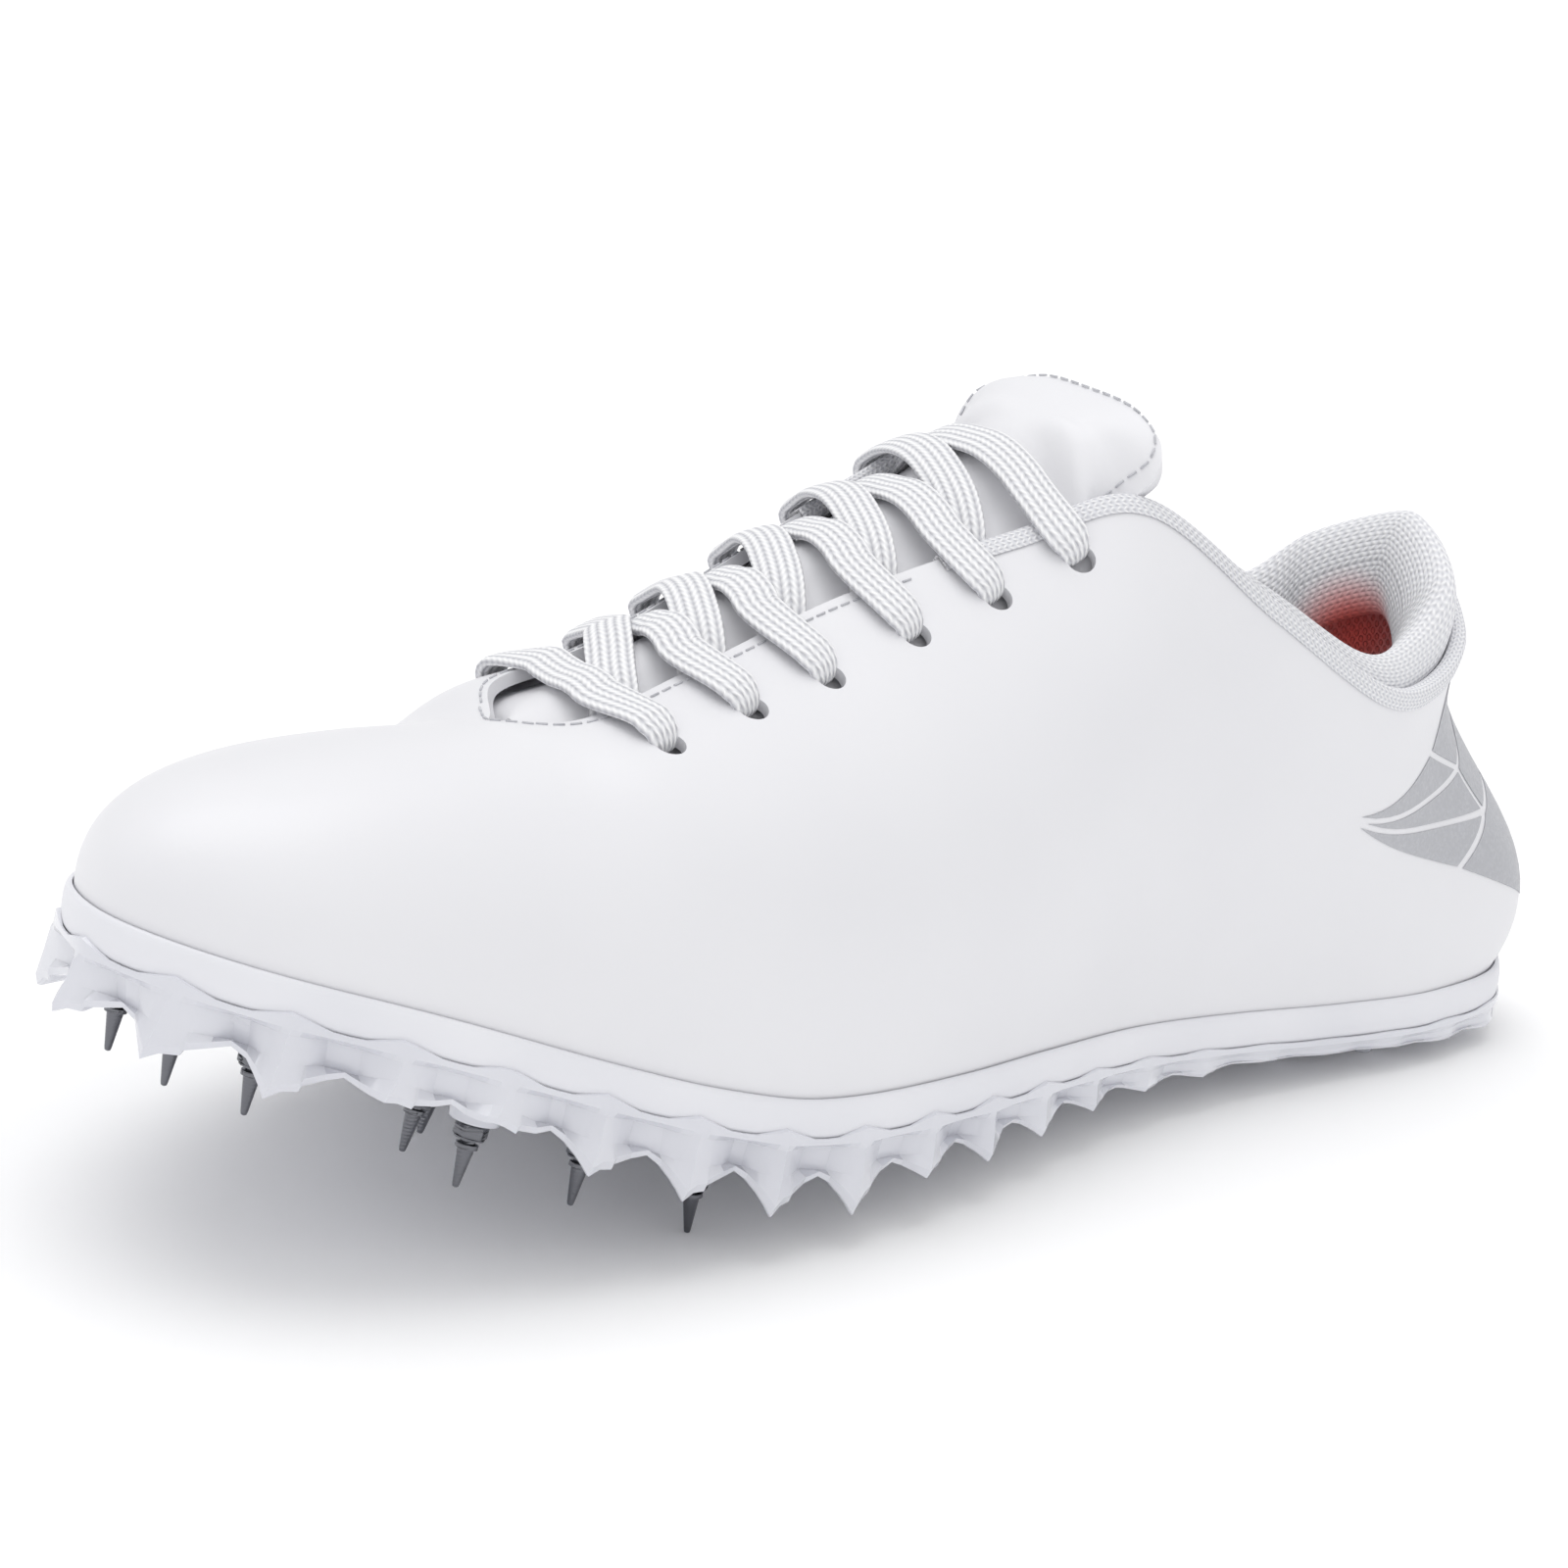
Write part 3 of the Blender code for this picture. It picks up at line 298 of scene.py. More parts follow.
@dataclass(frozen=True)
class Last:
    """The form of the shoe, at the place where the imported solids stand."""

    shift: Vector = field(compare=False)

    @classmethod
    def from_solids(cls) -> "Last":
        """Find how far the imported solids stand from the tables' own origin.

        Returns:
            The last at the solids' place.
        """
        low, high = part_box("midsole")
        spike_low, spike_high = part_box("spike_ball_outer")
        across = (spike_low.y + spike_high.y) / 2 - PINS[-1].across * BALL_WIDTH
        return cls(Vector(((low.x + high.x) / 2, across, 0)))

    def along_of(self, x: float) -> float:
        """Share of the length, from the heel, at an x of the last."""
        return 0.5 - x / LENGTH

    def lift(self, x: float) -> float:
        """Height of the midsole's underside at an x of the last.

        Args:
            x: distance from the middle of the length.

        Returns:
            The height.
        """
        along = self.along_of(x)
        heel, ball, toe = (table_value(LIFTS, along, column) for column in (1, 2, 3))
        return heel * HEEL_LIFT + ball * BALL_LIFT + toe * TOE_LIFT

    def edge_frame(self, place: float) -> tuple[Vector, Vector]:
        """Point of the sole's outline in plan, with its outward direction.

        Args:
            place: place round the sole, counted in ribs from the toe tip.

        Returns:
            The point and the direction.
        """
        here, ahead, behind = (ring_curve(RIBS, place + step) for step in (0, FINE_STEP, -FINE_STEP))
        run = Vector((LENGTH * (behind[0] - ahead[0]), BALL_WIDTH * (ahead[1] - behind[1]), 0))
        run.normalize()
        point = Vector((LENGTH * (0.5 - here[0]), BALL_WIDTH * here[1], 0))
        return point, Vector((run.y, -run.x, 0))

    def edge_point(self, place: float, inset: float, height: float) -> Vector:
        """Point at an inset from the outline and a height above the midsole's underside.

        Args:
            place: place round the sole, counted in ribs from the toe tip.
            inset: distance inside the outline.
            height: height above the midsole's underside.

        Returns:
            The point.
        """
        point, outward = self.edge_frame(place)
        point = point - outward * inset
        point.z = self.lift(point.x) + height
        return point

    @lru_cache(maxsize=None)
    def handles(self, place: float) -> tuple[Vector, Vector, Vector, Vector]:
        """Handles of the rib's curve at a place.

        Args:
            place: place round the sole.

        Returns:
            Foot, low handle, high handle and top of the rib.
        """
        rib = Rib(*ring_curve(RIBS, place))
        flare, turn, lean = math.radians(rib.flare), math.radians(rib.turn), math.radians(rib.lean)
        inset = LIP_WIDTH + FOOT_GAP + LIP_HEIGHT * max(math.cos(flare), 0)
        foot = self.edge_point(place, inset, BAND_HEIGHT - LIP_HEIGHT + FOOT_GAP)
        top = self.rib_top(place)
        chord = (top - foot).length
        outward = self.edge_frame(place)[1]
        rise = outward * math.cos(flare) + Vector((0, 0, math.sin(flare)))
        side = 1 if place % RIB_COUNT < HEEL_RIB else -1
        level = Vector((math.cos(turn), side * math.sin(turn), 0))
        finish = level * math.cos(lean) + Vector((0, 0, math.sin(lean)))
        return foot, foot + rise * chord * rib.low, top - finish * chord * rib.high, top

    def rib_top(self, place: float) -> Vector:
        """Top of a rib: the two sides share their ends along the closed vamp.

        Args:
            place: place round the sole, counted in ribs from the toe tip.

        Returns:
            The point.
        """
        own = ring_curve(RIBS, place)
        if min(place % RIB_COUNT, mirrored(place % RIB_COUNT)) < SEAM_RIBS:
            other = ring_curve(RIBS, mirrored(place))
            own = [(a + b) / 2 for a, b in zip(own, other)]
        height = own[4] * INSTEP_HEIGHT + own[5] * HEEL_HEIGHT
        return Vector((LENGTH * (0.5 - own[2]), BALL_WIDTH * own[3], height))

    def surface(self, place: float, share: float) -> Vector:
        """Point of the upper's outer face, before the shift.

        Args:
            place: place round the sole.
            share: share of the way up the rib.

        Returns:
            The point.
        """
        foot, low, high, top = self.handles(place)
        back = 1 - share
        return (foot * back ** 3 + low * 3 * back ** 2 * share + high * 3 * back * share ** 2
                + top * share ** 3)

    def normal(self, place: float, share: float) -> Vector:
        """Outward direction of the upper's outer face.

        Args:
            place: place round the sole, counted in ribs from the toe tip.
            share: share of the way up the rib.

        Returns:
            The direction.
        """
        step = 0.01
        share = min(share, 1 - step)
        along = self.surface(place + step, share) - self.surface(place - step, share)
        up = self.surface(place, share + step) - self.surface(place, share - step)
        return along.cross(up).normalized()

    def at(self, place: float, share: float, raised: float = 0.0) -> Vector:
        """Point on or over the upper's outer face, in the frame of the solids.

        Args:
            place: place round the sole, counted in ribs from the toe tip.
            share: share of the way up the rib.
            raised: height over the face.

        Returns:
            The point.
        """
        point = self.surface(place, share)
        if raised:
            point = point + self.normal(place, share) * raised
        return point + self.shift

    def rim(self, place: float) -> tuple[Vector, Vector, Vector]:
        """Point of the upper's top edge, with its outward and its upward direction."""
        edge = self.surface(place, 1)
        return edge, self.normal(place, NEAR_RIM), (edge - self.surface(place, BELOW_RIM)).normalized()

    def crest(self, x: float) -> float:
        """Height of the tongue's middle at an x of the last."""
        return table_value(TONGUE_CREST, self.along_of(x), 1) * INSTEP_HEIGHT

    def pin_frame(self, pin: Pin) -> tuple[Matrix, float]:
        """Frame of a pin in its seat.

        Args:
            pin: row of the table of pins.

        Returns:
            The frame, with the tip at its origin and the pin along Z, and the plate's height in it.
        """
        x, y = LENGTH * (0.5 - pin.along), BALL_WIDTH * pin.across
        plate = self.lift(x) - CLEARANCE - PLATE_THICKNESS
        if pin.stands:
            return Matrix.Translation(Vector((x, y, 0)) + self.shift), plate
        reach = SEAT_DROP * pin.drop + HEX_HEIGHT + PIN_LENGTH
        root = Matrix.Translation(Vector((x, y, plate)) + self.shift)
        turn = Matrix.Rotation(math.radians(pin.tilt), 4, "Y")
        return root @ turn @ Matrix.Translation((0, 0, -reach)), reach


LAST = Last.from_solids()


# Blender work by hand, in code

class Select(Enum):
    """Kinds of mesh element that edit mode selects."""

    VERTS = "VERT"
    EDGES = "EDGE"
    FACES = "FACE"


def deselect_all() -> None:
    """Leave nothing selected and no object in edit mode."""
    if bpy.context.object and bpy.context.object.mode != "OBJECT":
        bpy.ops.object.mode_set(mode="OBJECT")
    bpy.ops.object.select_all(action="DESELECT")


def make_active(item: bpy.types.Object) -> None:
    """Select one object alone.

    Args:
        item: object to select.
    """
    deselect_all()
    item.select_set(True)
    bpy.context.view_layer.objects.active = item


def named_primitive(name: str) -> bpy.types.Object:
    """Give the primitive that was just added its name.

    Args:
        name: name of the object and its mesh.

    Returns:
        The object.
    """
    item = bpy.context.object
    item.name = name
    item.data.name = name
    return item


def edit(item: bpy.types.Object, select: Select = Select.VERTS,
         pick: Optional[Callable[[Any], bool]] = None) -> None:
    """Open a mesh in edit mode with the picked elements selected.

    Args:
        item: object to edit.
        select: kind of element.
        pick: says which elements are taken; all of them without it.
    """
    make_active(item)
    bpy.ops.object.mode_set(mode="EDIT")
    bpy.ops.mesh.select_mode(type=select.value)
    bpy.ops.mesh.select_all(action="SELECT" if pick is None else "DESELECT")
    if pick is None:
        return
    bpy.ops.object.mode_set(mode="OBJECT")
    elements = {Select.VERTS: item.data.vertices, Select.EDGES: item.data.edges,
                Select.FACES: item.data.polygons}[select]
    for element in elements:
        element.select = pick(element)
    bpy.ops.object.mode_set(mode="EDIT")


def leave_edit() -> None:
    """Back to object mode."""
    bpy.ops.object.mode_set(mode="OBJECT")


def weld(item: bpy.types.Object, distance: float = 0.01 * MM) -> None:
    """Merge the vertices of a closed seam.

    Args:
        item: object to change.
        distance: how near two vertices are that become one.
    """
    edit(item)
    bpy.ops.mesh.remove_doubles(threshold=distance)
    leave_edit()


def face_outwards(item: bpy.types.Object) -> None:
    """Point all faces outwards.

    Args:
        item: object to change.
    """
    edit(item)
    bpy.ops.mesh.normals_make_consistent(inside=False)
    leave_edit()


def copy_of(model: bpy.types.Object, name: str, place: Matrix) -> bpy.types.Object:
    """Copy a model, name the copy and move its mesh.

    Args:
        model: object that is copied.
        name: name of the copy.
        place: matrix that moves, turns and scales the copy's mesh.

    Returns:
        The copy.
    """
    make_active(model)
    bpy.ops.object.duplicate(linked=False)
    copy = named_primitive(name)
    copy.data.transform(place)
    return copy


def apply_modifier(item: bpy.types.Object, kind: str, **settings: Any) -> None:
    """Add a modifier with its settings and apply it.

    Args:
        item: object to change.
        kind: Blender's name for the modifier.
        settings: values of the modifier's properties.
    """
    make_active(item)
    modifier = item.modifiers.new(kind.lower(), kind)
    for key, value in settings.items():
        setattr(modifier, key, value)
    bpy.ops.object.modifier_apply(modifier=modifier.name)


def shade(item: bpy.types.Object, angle: float) -> None:
    """Shade smooth, with edges sharper than an angle in degrees kept crisp."""
    make_active(item)
    bpy.ops.object.shade_smooth_by_angle(angle=math.radians(angle))


def join(items: Sequence[bpy.types.Object], name: str) -> bpy.types.Object:
    """Join objects into the first one.

    Args:
        items: objects to join.
        name: name of the whole.

    Returns:
        The whole.
    """
    make_active(items[0])
    for item in items:
        item.select_set(True)
    bpy.ops.object.join()
    return named_primitive(name)


def shaped_grid(name: str, columns: int, rows: int,
                point_at: Callable[[float, float], Vector]) -> bpy.types.Object:
    """Start from a primitive grid and lay it on a form, with a UV map in metres.

    Args:
        name: name of the piece.
        columns: faces in the first direction.
        rows: faces in the second direction.
        point_at: point of the form for two shares from 0 to 1; faces look along first x second.

    Returns:
        The shaped object.
    """
    deselect_all()
    bpy.ops.mesh.primitive_grid_add(x_subdivisions=columns, y_subdivisions=rows, size=2)
    item = named_primitive(name)
    mesh = item.data
    flat = np.empty(len(mesh.vertices) * 3)
    mesh.vertices.foreach_get("co", flat)
    flat = flat.reshape(-1, 3)
    first = np.rint((flat[:, 0] + 1) / 2 * columns).astype(int)
    second = np.rint((flat[:, 1] + 1) / 2 * rows).astype(int)
    points = np.array([[point_at(a / columns, b / rows) for b in range(rows + 1)]
                       for a in range(columns + 1)])
    mesh.vertices.foreach_set("co", points[first, second].ravel())
    steps = np.linalg.norm(np.diff(points, axis=0), axis=2).mean(axis=1)
    climbs = np.linalg.norm(np.diff(points, axis=1), axis=2).mean(axis=0)
    length = np.concatenate(([0.0], np.cumsum(steps)))
    height = np.concatenate(([0.0], np.cumsum(climbs)))
    corners = np.empty(len(mesh.loops), int)
    mesh.loops.foreach_get("vertex_index", corners)
    spots = np.column_stack((length[first[corners]], height[second[corners]]))
    mesh.uv_layers.active.data.foreach_set("uv", spots.ravel())
    mesh.update()
    return item


def closed_grid(name: str, columns: int, rows: int,
                point_at: Callable[[float, float], Vector]) -> bpy.types.Object:
    """Grid whose long sides or ends meet: its seam is welded and its open ends are filled.

    Args:
        name: name of the piece.
        columns: faces in the first direction.
        rows: faces in the second direction.
        point_at: point of the form for two shares from 0 to 1.

    Returns:
        The closed object.
    """
    item = shaped_grid(name, columns, rows, point_at)
    weld(item)
    edit(item)
    bpy.ops.mesh.fill_holes(sides=0)
    face_outwards(item)
    return item


def blended_points(rows: Sequence[Sequence[Vector]], first: float, second: float) -> Vector:
    """Point of a smooth surface through a net of points.

    Args:
        rows: the net, one row for each step of the first direction.
        first: share of the way through the rows.
        second: share of the way along a row.

    Returns:
        The point on the surface.
    """
    def spread(share: float, count: int) -> tuple[list[int], tuple[float, float, float, float]]:
        """Find the four rows round a share of the way, and their weights.

        Args:
            share: share of the way through the rows.
            count: number of rows.

        Returns:
            The numbers of the four rows and their weights.
        """
        place = share * (count - 1)
        start = min(int(place), count - 2)
        steps = [min(max(start + step, 0), count - 1) for step in (-1, 0, 1, 2)]
        return steps, spline_weights(place - start)

    lines, line_weights = spread(first, len(rows))
    spots, spot_weights = spread(second, len(rows[0]))
    total = Vector((0, 0, 0))
    for line, a in zip(lines, line_weights):
        for spot, b in zip(spots, spot_weights):
            total += rows[line][spot] * (a * b)
    return total


# Finishes

COAT_ROUGHNESS = 0.12


def linear(colour: str) -> tuple[float, float, float, float]:
    """Turn an sRGB hex colour into the linear values that shaders take."""
    shares = [int(colour[k:k + 2], 16) / 255 for k in (0, 2, 4)]
    return (*[s / 12.92 if s <= 0.04045 else ((s + 0.055) / 1.055) ** 2.4 for s in shares], 1.0)


def add_node(tree: bpy.types.NodeTree, kind: str, sockets: Optional[dict[Any, Any]] = None,
             **settings: Any) -> bpy.types.Node:
    """Add one node.

    Args:
        tree: node tree of the material.
        kind: node type, without the words that every type starts with.
        sockets: input name or number, and the value or the socket that goes into it.
        settings: the node's own properties.

    Returns:
        The node.
    """
    node = tree.nodes.new("ShaderNode" + kind)
    for key, value in settings.items():
        setattr(node, key, value)
    for key, value in (sockets or {}).items():
        if isinstance(value, bpy.types.NodeSocket):
            tree.links.new(value, node.inputs[key])
        else:
            node.inputs[key].default_value = value
    return node


def reckon(tree: bpy.types.NodeTree, operation: str, *values: Any,
           clamp: bool = False) -> bpy.types.NodeSocket:
    """Reckon with numbers or sockets in one Math node.

    Args:
        tree: node tree of the material.
        operation: Blender's name for the operation.
        values: numbers or sockets that go in.
        clamp: whether the result stays between 0 and 1.

    Returns:
        The result's socket.
    """
    node = add_node(tree, "Math", dict(enumerate(values)), operation=operation, use_clamp=clamp)
    return node.outputs[0]


def noise(tree: bpy.types.NodeTree, size: float, detail: float = 2.0,
          roughness: float = 0.5) -> bpy.types.NodeSocket:
    """Noise in the object's own space.

    Args:
        tree: node tree of the material.
        size: real size of its patches, in metres.
        detail: how many finer layers it has.
        roughness: how strong the finer layers are.

    Returns:
        The socket of its value.
    """
    place = add_node(tree, "TexCoord").outputs["Object"]
    return add_node(tree, "TexNoise", {"Vector": place, "Scale": 1 / size, "Detail": detail,
                                       "Roughness": roughness}).outputs["Fac"]


@dataclass(frozen=True)
class Finish:
    """What every finish says: its name, its sRGB colour and how its surface takes the light."""

    name: str
    colour: str
    roughness: float
    metallic: float = 0.0
    coat: float = 0.0
    sheen: float = 0.0

    def build(self) -> bpy.types.Material:
        """Make the material.

        Returns:
            The material, with the pattern of its own class.
        """
        found = bpy.data.materials.get(self.name)
        if found:
            return found
        material = bpy.data.materials.new(self.name)
        material.use_nodes = True
        material.diffuse_color = linear(self.colour)
        tree = material.node_tree
        shader = tree.nodes["Principled BSDF"]
        shader.inputs["Base Color"].default_value = linear(self.colour)
        shader.inputs["Roughness"].default_value = self.roughness
        shader.inputs["Metallic"].default_value = self.metallic
        shader.inputs["Coat Weight"].default_value = self.coat
        shader.inputs["Coat Roughness"].default_value = COAT_ROUGHNESS
        shader.inputs["Sheen Weight"].default_value = self.sheen
        self.pattern(tree, shader)
        return material

    def pattern(self, tree: bpy.types.NodeTree, shader: bpy.types.Node) -> None:
        """Add the nodes of the surface's own pattern."""

    def relief(self, tree: bpy.types.NodeTree, shader: bpy.types.Node,
               height: bpy.types.NodeSocket, depth: float) -> None:
        """Turn a height from 0 to 1 into relief of a real depth.

        Args:
            tree: node tree of the material.
            shader: its Principled shader.
            height: socket that gives the height.
            depth: real depth in metres.
        """
        bump = add_node(tree, "Bump", {"Strength": 1.0, "Distance": depth, "Height": height})
        tree.links.new(bump.outputs["Normal"], shader.inputs["Normal"])

    def mix(self, tree: bpy.types.NodeTree, share: bpy.types.NodeSocket, low: Any,
            high: Any) -> bpy.types.NodeSocket:
        """Mix two colours by a share.

        Args:
            tree: node tree of the material.
            share: socket from 0 to 1.
            low: colour or socket at 0.
            high: colour or socket at 1.

        Returns:
            The colour's socket.
        """
        node = add_node(tree, "Mix", {0: share}, data_type="RGBA")
        for index, value in ((6, low), (7, high)):
            if isinstance(value, bpy.types.NodeSocket):
                tree.links.new(value, node.inputs[index])
            else:
                node.inputs[index].default_value = linear(value)
        return node.outputs[2]

    def vary_gloss(self, tree: bpy.types.NodeTree, shader: bpy.types.Node,
                   share: bpy.types.NodeSocket, smoother: float, rougher: float) -> None:
        """Let the roughness change over the surface.

        Args:
            tree: node tree of the material.
            shader: its Principled shader.
            share: socket from 0 to 1.
            smoother: how far the roughness falls at 0.
            rougher: how far it rises at 1.
        """
        gloss = add_node(tree, "MapRange", {"Value": share, "To Min": self.roughness - smoother,
                                            "To Max": self.roughness + rougher})
        tree.links.new(gloss.outputs["Result"], shader.inputs["Roughness"])


@dataclass(frozen=True)
class Moulded(Finish):
    """Moulded foam or plastic: even colour, faint flow marks and a fine skin."""

    shaded: str = "DDDEE4"
    patch: float = 22 * MM
    patch_detail: float = 1.0
    patch_roughness: float = 0.5
    grain: float = 1.2 * MM
    grain_detail: float = 2.0
    grain_depth: float = 0.02 * MM
    gloss_change: float = 0.0

    def pattern(self, tree: bpy.types.NodeTree, shader: bpy.types.Node) -> None:
        """Add slow changes of tone, and of gloss where it has them, and a shallow grain.

        Args:
            tree: node tree of the material.
            shader: its Principled shader.
        """
        slow = noise(tree, self.patch, self.patch_detail, self.patch_roughness)
        tree.links.new(self.mix(tree, slow, self.shaded, self.colour), shader.inputs["Base Color"])
        if self.gloss_change:
            self.vary_gloss(tree, shader, slow, self.gloss_change, self.gloss_change)
        self.relief(tree, shader, noise(tree, self.grain, self.grain_detail), self.grain_depth)


@dataclass(frozen=True)
class CoatedSkin(Moulded):
    """Smooth polyurethane skin: satin, with a faint film grain and slow changes of tone."""

    shaded: str = "E1E1E5"
    patch: float = 38 * MM
    patch_detail: float = 2.0
    patch_roughness: float = 0.4
    grain: float = 0.7 * MM
    grain_detail: float = 3.0
    grain_depth: float = 0.018 * MM
    gloss_change: float = 0.05


@dataclass(frozen=True)
class Textile(Finish):
    """Light yarn over gaps painted dark as shade, dyed another colour where a patch says so."""

    # Colour of the gaps between the yarns: painted shade, darker than the yarn
    gap: str = "C3C4CB"
    depth: float = 0.35 * MM
    patch_colour: str = ""

    def yarn(self, tree: bpy.types.NodeTree, shader: bpy.types.Node,
             height: bpy.types.NodeSocket) -> None:
        """Colour the surface from painted shade in its gaps to its yarn, and add the relief.

        Args:
            tree: node tree of the material.
            shader: its Principled shader.
            height: socket from 0 in a gap to 1 on the yarn.
        """
        # Painted shade: the gaps get the darker colour that stands for their shade
        tone = self.mix(tree, height, self.gap, self.colour)
        if self.patch_colour:
            patch = add_node(tree, "Attribute", attribute_name="warm_patch")
            tone = self.mix(tree, patch.outputs["Fac"], tone, self.patch_colour)
        tree.links.new(tone, shader.inputs["Base Color"])
        self.relief(tree, shader, height, self.depth)


@dataclass(frozen=True)
class Chevrons(Textile):
    """Yarn laid in rows of slanting stitches: knit, braid and tape all look so from outside."""

    along: float = 1.0 * MM
    across: float = 1.2 * MM
    slant: float = 1.0
    rib_share: float = 0.40
    yarn_share: float = 0.30

    def pattern(self, tree: bpy.types.NodeTree, shader: bpy.types.Node) -> None:
        """Add rows along the UV map's first direction, each of slanting yarns.

        Args:
            tree: node tree of the material.
            shader: its Principled shader.
        """
        spot = add_node(tree, "UVMap")
        parts = add_node(tree, "SeparateXYZ", {0: spot.outputs["UV"]})
        turn = 2 * math.pi
        row = reckon(tree, "PINGPONG", parts.outputs["Y"], self.across / 2)
        phase = reckon(tree, "MULTIPLY", row, self.slant * turn / self.along)
        run = reckon(tree, "MULTIPLY_ADD", parts.outputs["X"], turn / self.along, phase)
        yarn = reckon(tree, "MULTIPLY_ADD", reckon(tree, "SINE", run), self.yarn_share, self.yarn_share)
        rib = reckon(tree, "SINE", reckon(tree, "MULTIPLY", row, turn / self.across))
        height = reckon(tree, "MULTIPLY_ADD", rib, self.rib_share, yarn, clamp=True)
        self.yarn(tree, shader, height)


@dataclass(frozen=True)
class OpenMesh(Textile):
    """Lining of open diamond mesh: white yarn round small holes painted grey as shade, dyed warm in one
    patch.
    """

    # Colour of the holes: painted shade
    gap: str = "8F9097"
    pitch: float = 1.25 * MM
    yarn_edge: float = 0.35
    hole_edge: float = 0.7
    depth: float = 0.4 * MM
    patch_colour: str = "FF6A60"

    def pattern(self, tree: bpy.types.NodeTree, shader: bpy.types.Node) -> None:
        """Add the diamonds on the UV map, and the patch by the piece's own attribute.

        Args:
            tree: node tree of the material.
            shader: its Principled shader.
        """
        spot = add_node(tree, "UVMap")
        turned = add_node(tree, "Mapping", {"Vector": spot.outputs["UV"],
                                            "Rotation": (0, 0, math.radians(45))})
        parts = add_node(tree, "SeparateXYZ", {0: turned.outputs["Vector"]})
        waves = []
        for axis in ("X", "Y"):
            run = reckon(tree, "MULTIPLY", parts.outputs[axis], math.pi / self.pitch)
            waves.append(reckon(tree, "ABSOLUTE", reckon(tree, "SINE", run)))
        yarn = add_node(tree, "MapRange", {"Value": reckon(tree, "MULTIPLY", *waves),
                                           "From Min": self.yarn_edge, "From Max": self.hole_edge,
                                           "To Min": 1.0, "To Max": 0.0})
        self.yarn(tree, shader, yarn.outputs["Result"])


@dataclass(frozen=True)
class Flaked(Finish):
    """Printed film with fine flakes in it, whose glints are painted as lighter points."""

    flake: float = 0.45 * MM
    # Lighter tone of a flake: painted glint
    painted_glint_tone: str = "B9BABF"
    dull: float = 0.45
    gloss_change: float = 0.12

    def pattern(self, tree: bpy.types.NodeTree, shader: bpy.types.Node) -> None:
        """Add flakes as small cells of a smoother surface, with their glints painted as a lighter tone.

        Args:
            tree: node tree of the material.
            shader: its Principled shader.
        """
        place = add_node(tree, "TexCoord").outputs["Object"]
        cells = add_node(tree, "TexVoronoi", {"Vector": place, "Scale": 1 / self.flake})
        parts = add_node(tree, "SeparateXYZ", {0: cells.outputs["Color"]})
        painted_glint_share = add_node(tree, "MapRange", {"Value": parts.outputs["X"], "From Min": self.dull})
        tone = self.mix(tree, painted_glint_share.outputs["Result"], self.colour, self.painted_glint_tone)
        tree.links.new(tone, shader.inputs["Base Color"])
        self.vary_gloss(tree, shader, parts.outputs["Y"], self.gloss_change, self.gloss_change)


@dataclass(frozen=True)
class TurnedSteel(Finish):
    """Turned and plated steel with faint rings from the lathe, a mirror whose dark base colour is painted
    dark reflection.
    """

    ring: float = 0.5 * MM
    ring_depth: float = 0.01 * MM
    wear: float = 2 * MM
    smoother: float = 0.05
    rougher: float = 0.1

    def pattern(self, tree: bpy.types.NodeTree, shader: bpy.types.Node) -> None:
        """Add rings up the pin's length and a slightly uneven gloss.

        Args:
            tree: node tree of the material.
            shader: its Principled shader.
        """
        place = add_node(tree, "TexCoord").outputs["Object"]
        parts = add_node(tree, "SeparateXYZ", {0: place})
        run = reckon(tree, "MULTIPLY", parts.outputs["Z"], 2 * math.pi / self.ring)
        self.relief(tree, shader, reckon(tree, "SINE", run), self.ring_depth)
        self.vary_gloss(tree, shader, noise(tree, self.wear), self.smoother, self.rougher)


# Polyurethane on microfibre, pressed smooth: a soft satin white that goes faintly cool in shade
PU_SKIN = CoatedSkin("polyurethane_skin_pressed", "E9E9EC", 0.40)
# The same skin over foam on the tongue, a little more matt
PU_TONGUE = CoatedSkin("polyurethane_tongue_pressed", "E9E9EC", 0.44)
# Flat-knitted polyester over foam: rows of small Vs that follow the roll, with painted shade in the gaps
# between them
KNIT_ROLL = Chevrons("polyester_knit_flat", "F7F7F9", 0.85, along=1.5 * MM, across=1.3 * MM,
                     slant=0.8, depth=0.3 * MM, patch_colour="FF7268", gap="D4D5DB")
# Narrow woven tape: two rows of small loops that give the edge a fine dotted line, with painted shade
# between the loops
KNIT_TAPE = Chevrons("polyester_tape_woven", "F6F6F8", 0.8, along=1.1 * MM, across=1.2 * MM,
                     slant=0.9, depth=0.25 * MM, gap="D0D1D8")
# Tubular braid pressed flat: lengthwise rows with shallow grooves painted darker as shade, white and matt
LACE_BRAID = Chevrons("polyester_lace_braided", "FAFAFB", 0.75, along=1.3 * MM, across=2.4 * MM,
                      slant=1.0, depth=0.35 * MM, rib_share=0.74, yarn_share=0.13, gap="C6C7CE")
# Warp-knitted spacer mesh behind the foot: small diamond holes painted grey as shade between white yarns
LINING_MESH = OpenMesh("polyester_mesh_warp_knitted", "F7F7F9", 0.85)
# Foam band moulded round the sole: smooth skin, softer gloss than the upper
FOAM_BAND = Moulded("eva_foam_moulded", "ECECF0", 0.45)
# Clear-white plastic of the plate and its teeth, glossy from the mould
PLATE_PLASTIC = Moulded("tpu_plate_injection_moulded", "E2E3E9", 0.2, coat=0.5, shaded="CFD0D8")
# Sock lining of brushed knit on foam: matt, with a soft pale edge and painted shade in the gaps
SOCK_CLOTH = Chevrons("polyester_sock_brushed", "DCDDE1", 0.9, sheen=0.4, along=1.6 * MM, across=1.5 * MM)
# Silver film pressed on with heat: an even grey from afar, bright points from near, painted as glints in
# the colour
SILVER_FILM = Flaked("silver_film_heat_pressed", "B2B3B8", 0.5)
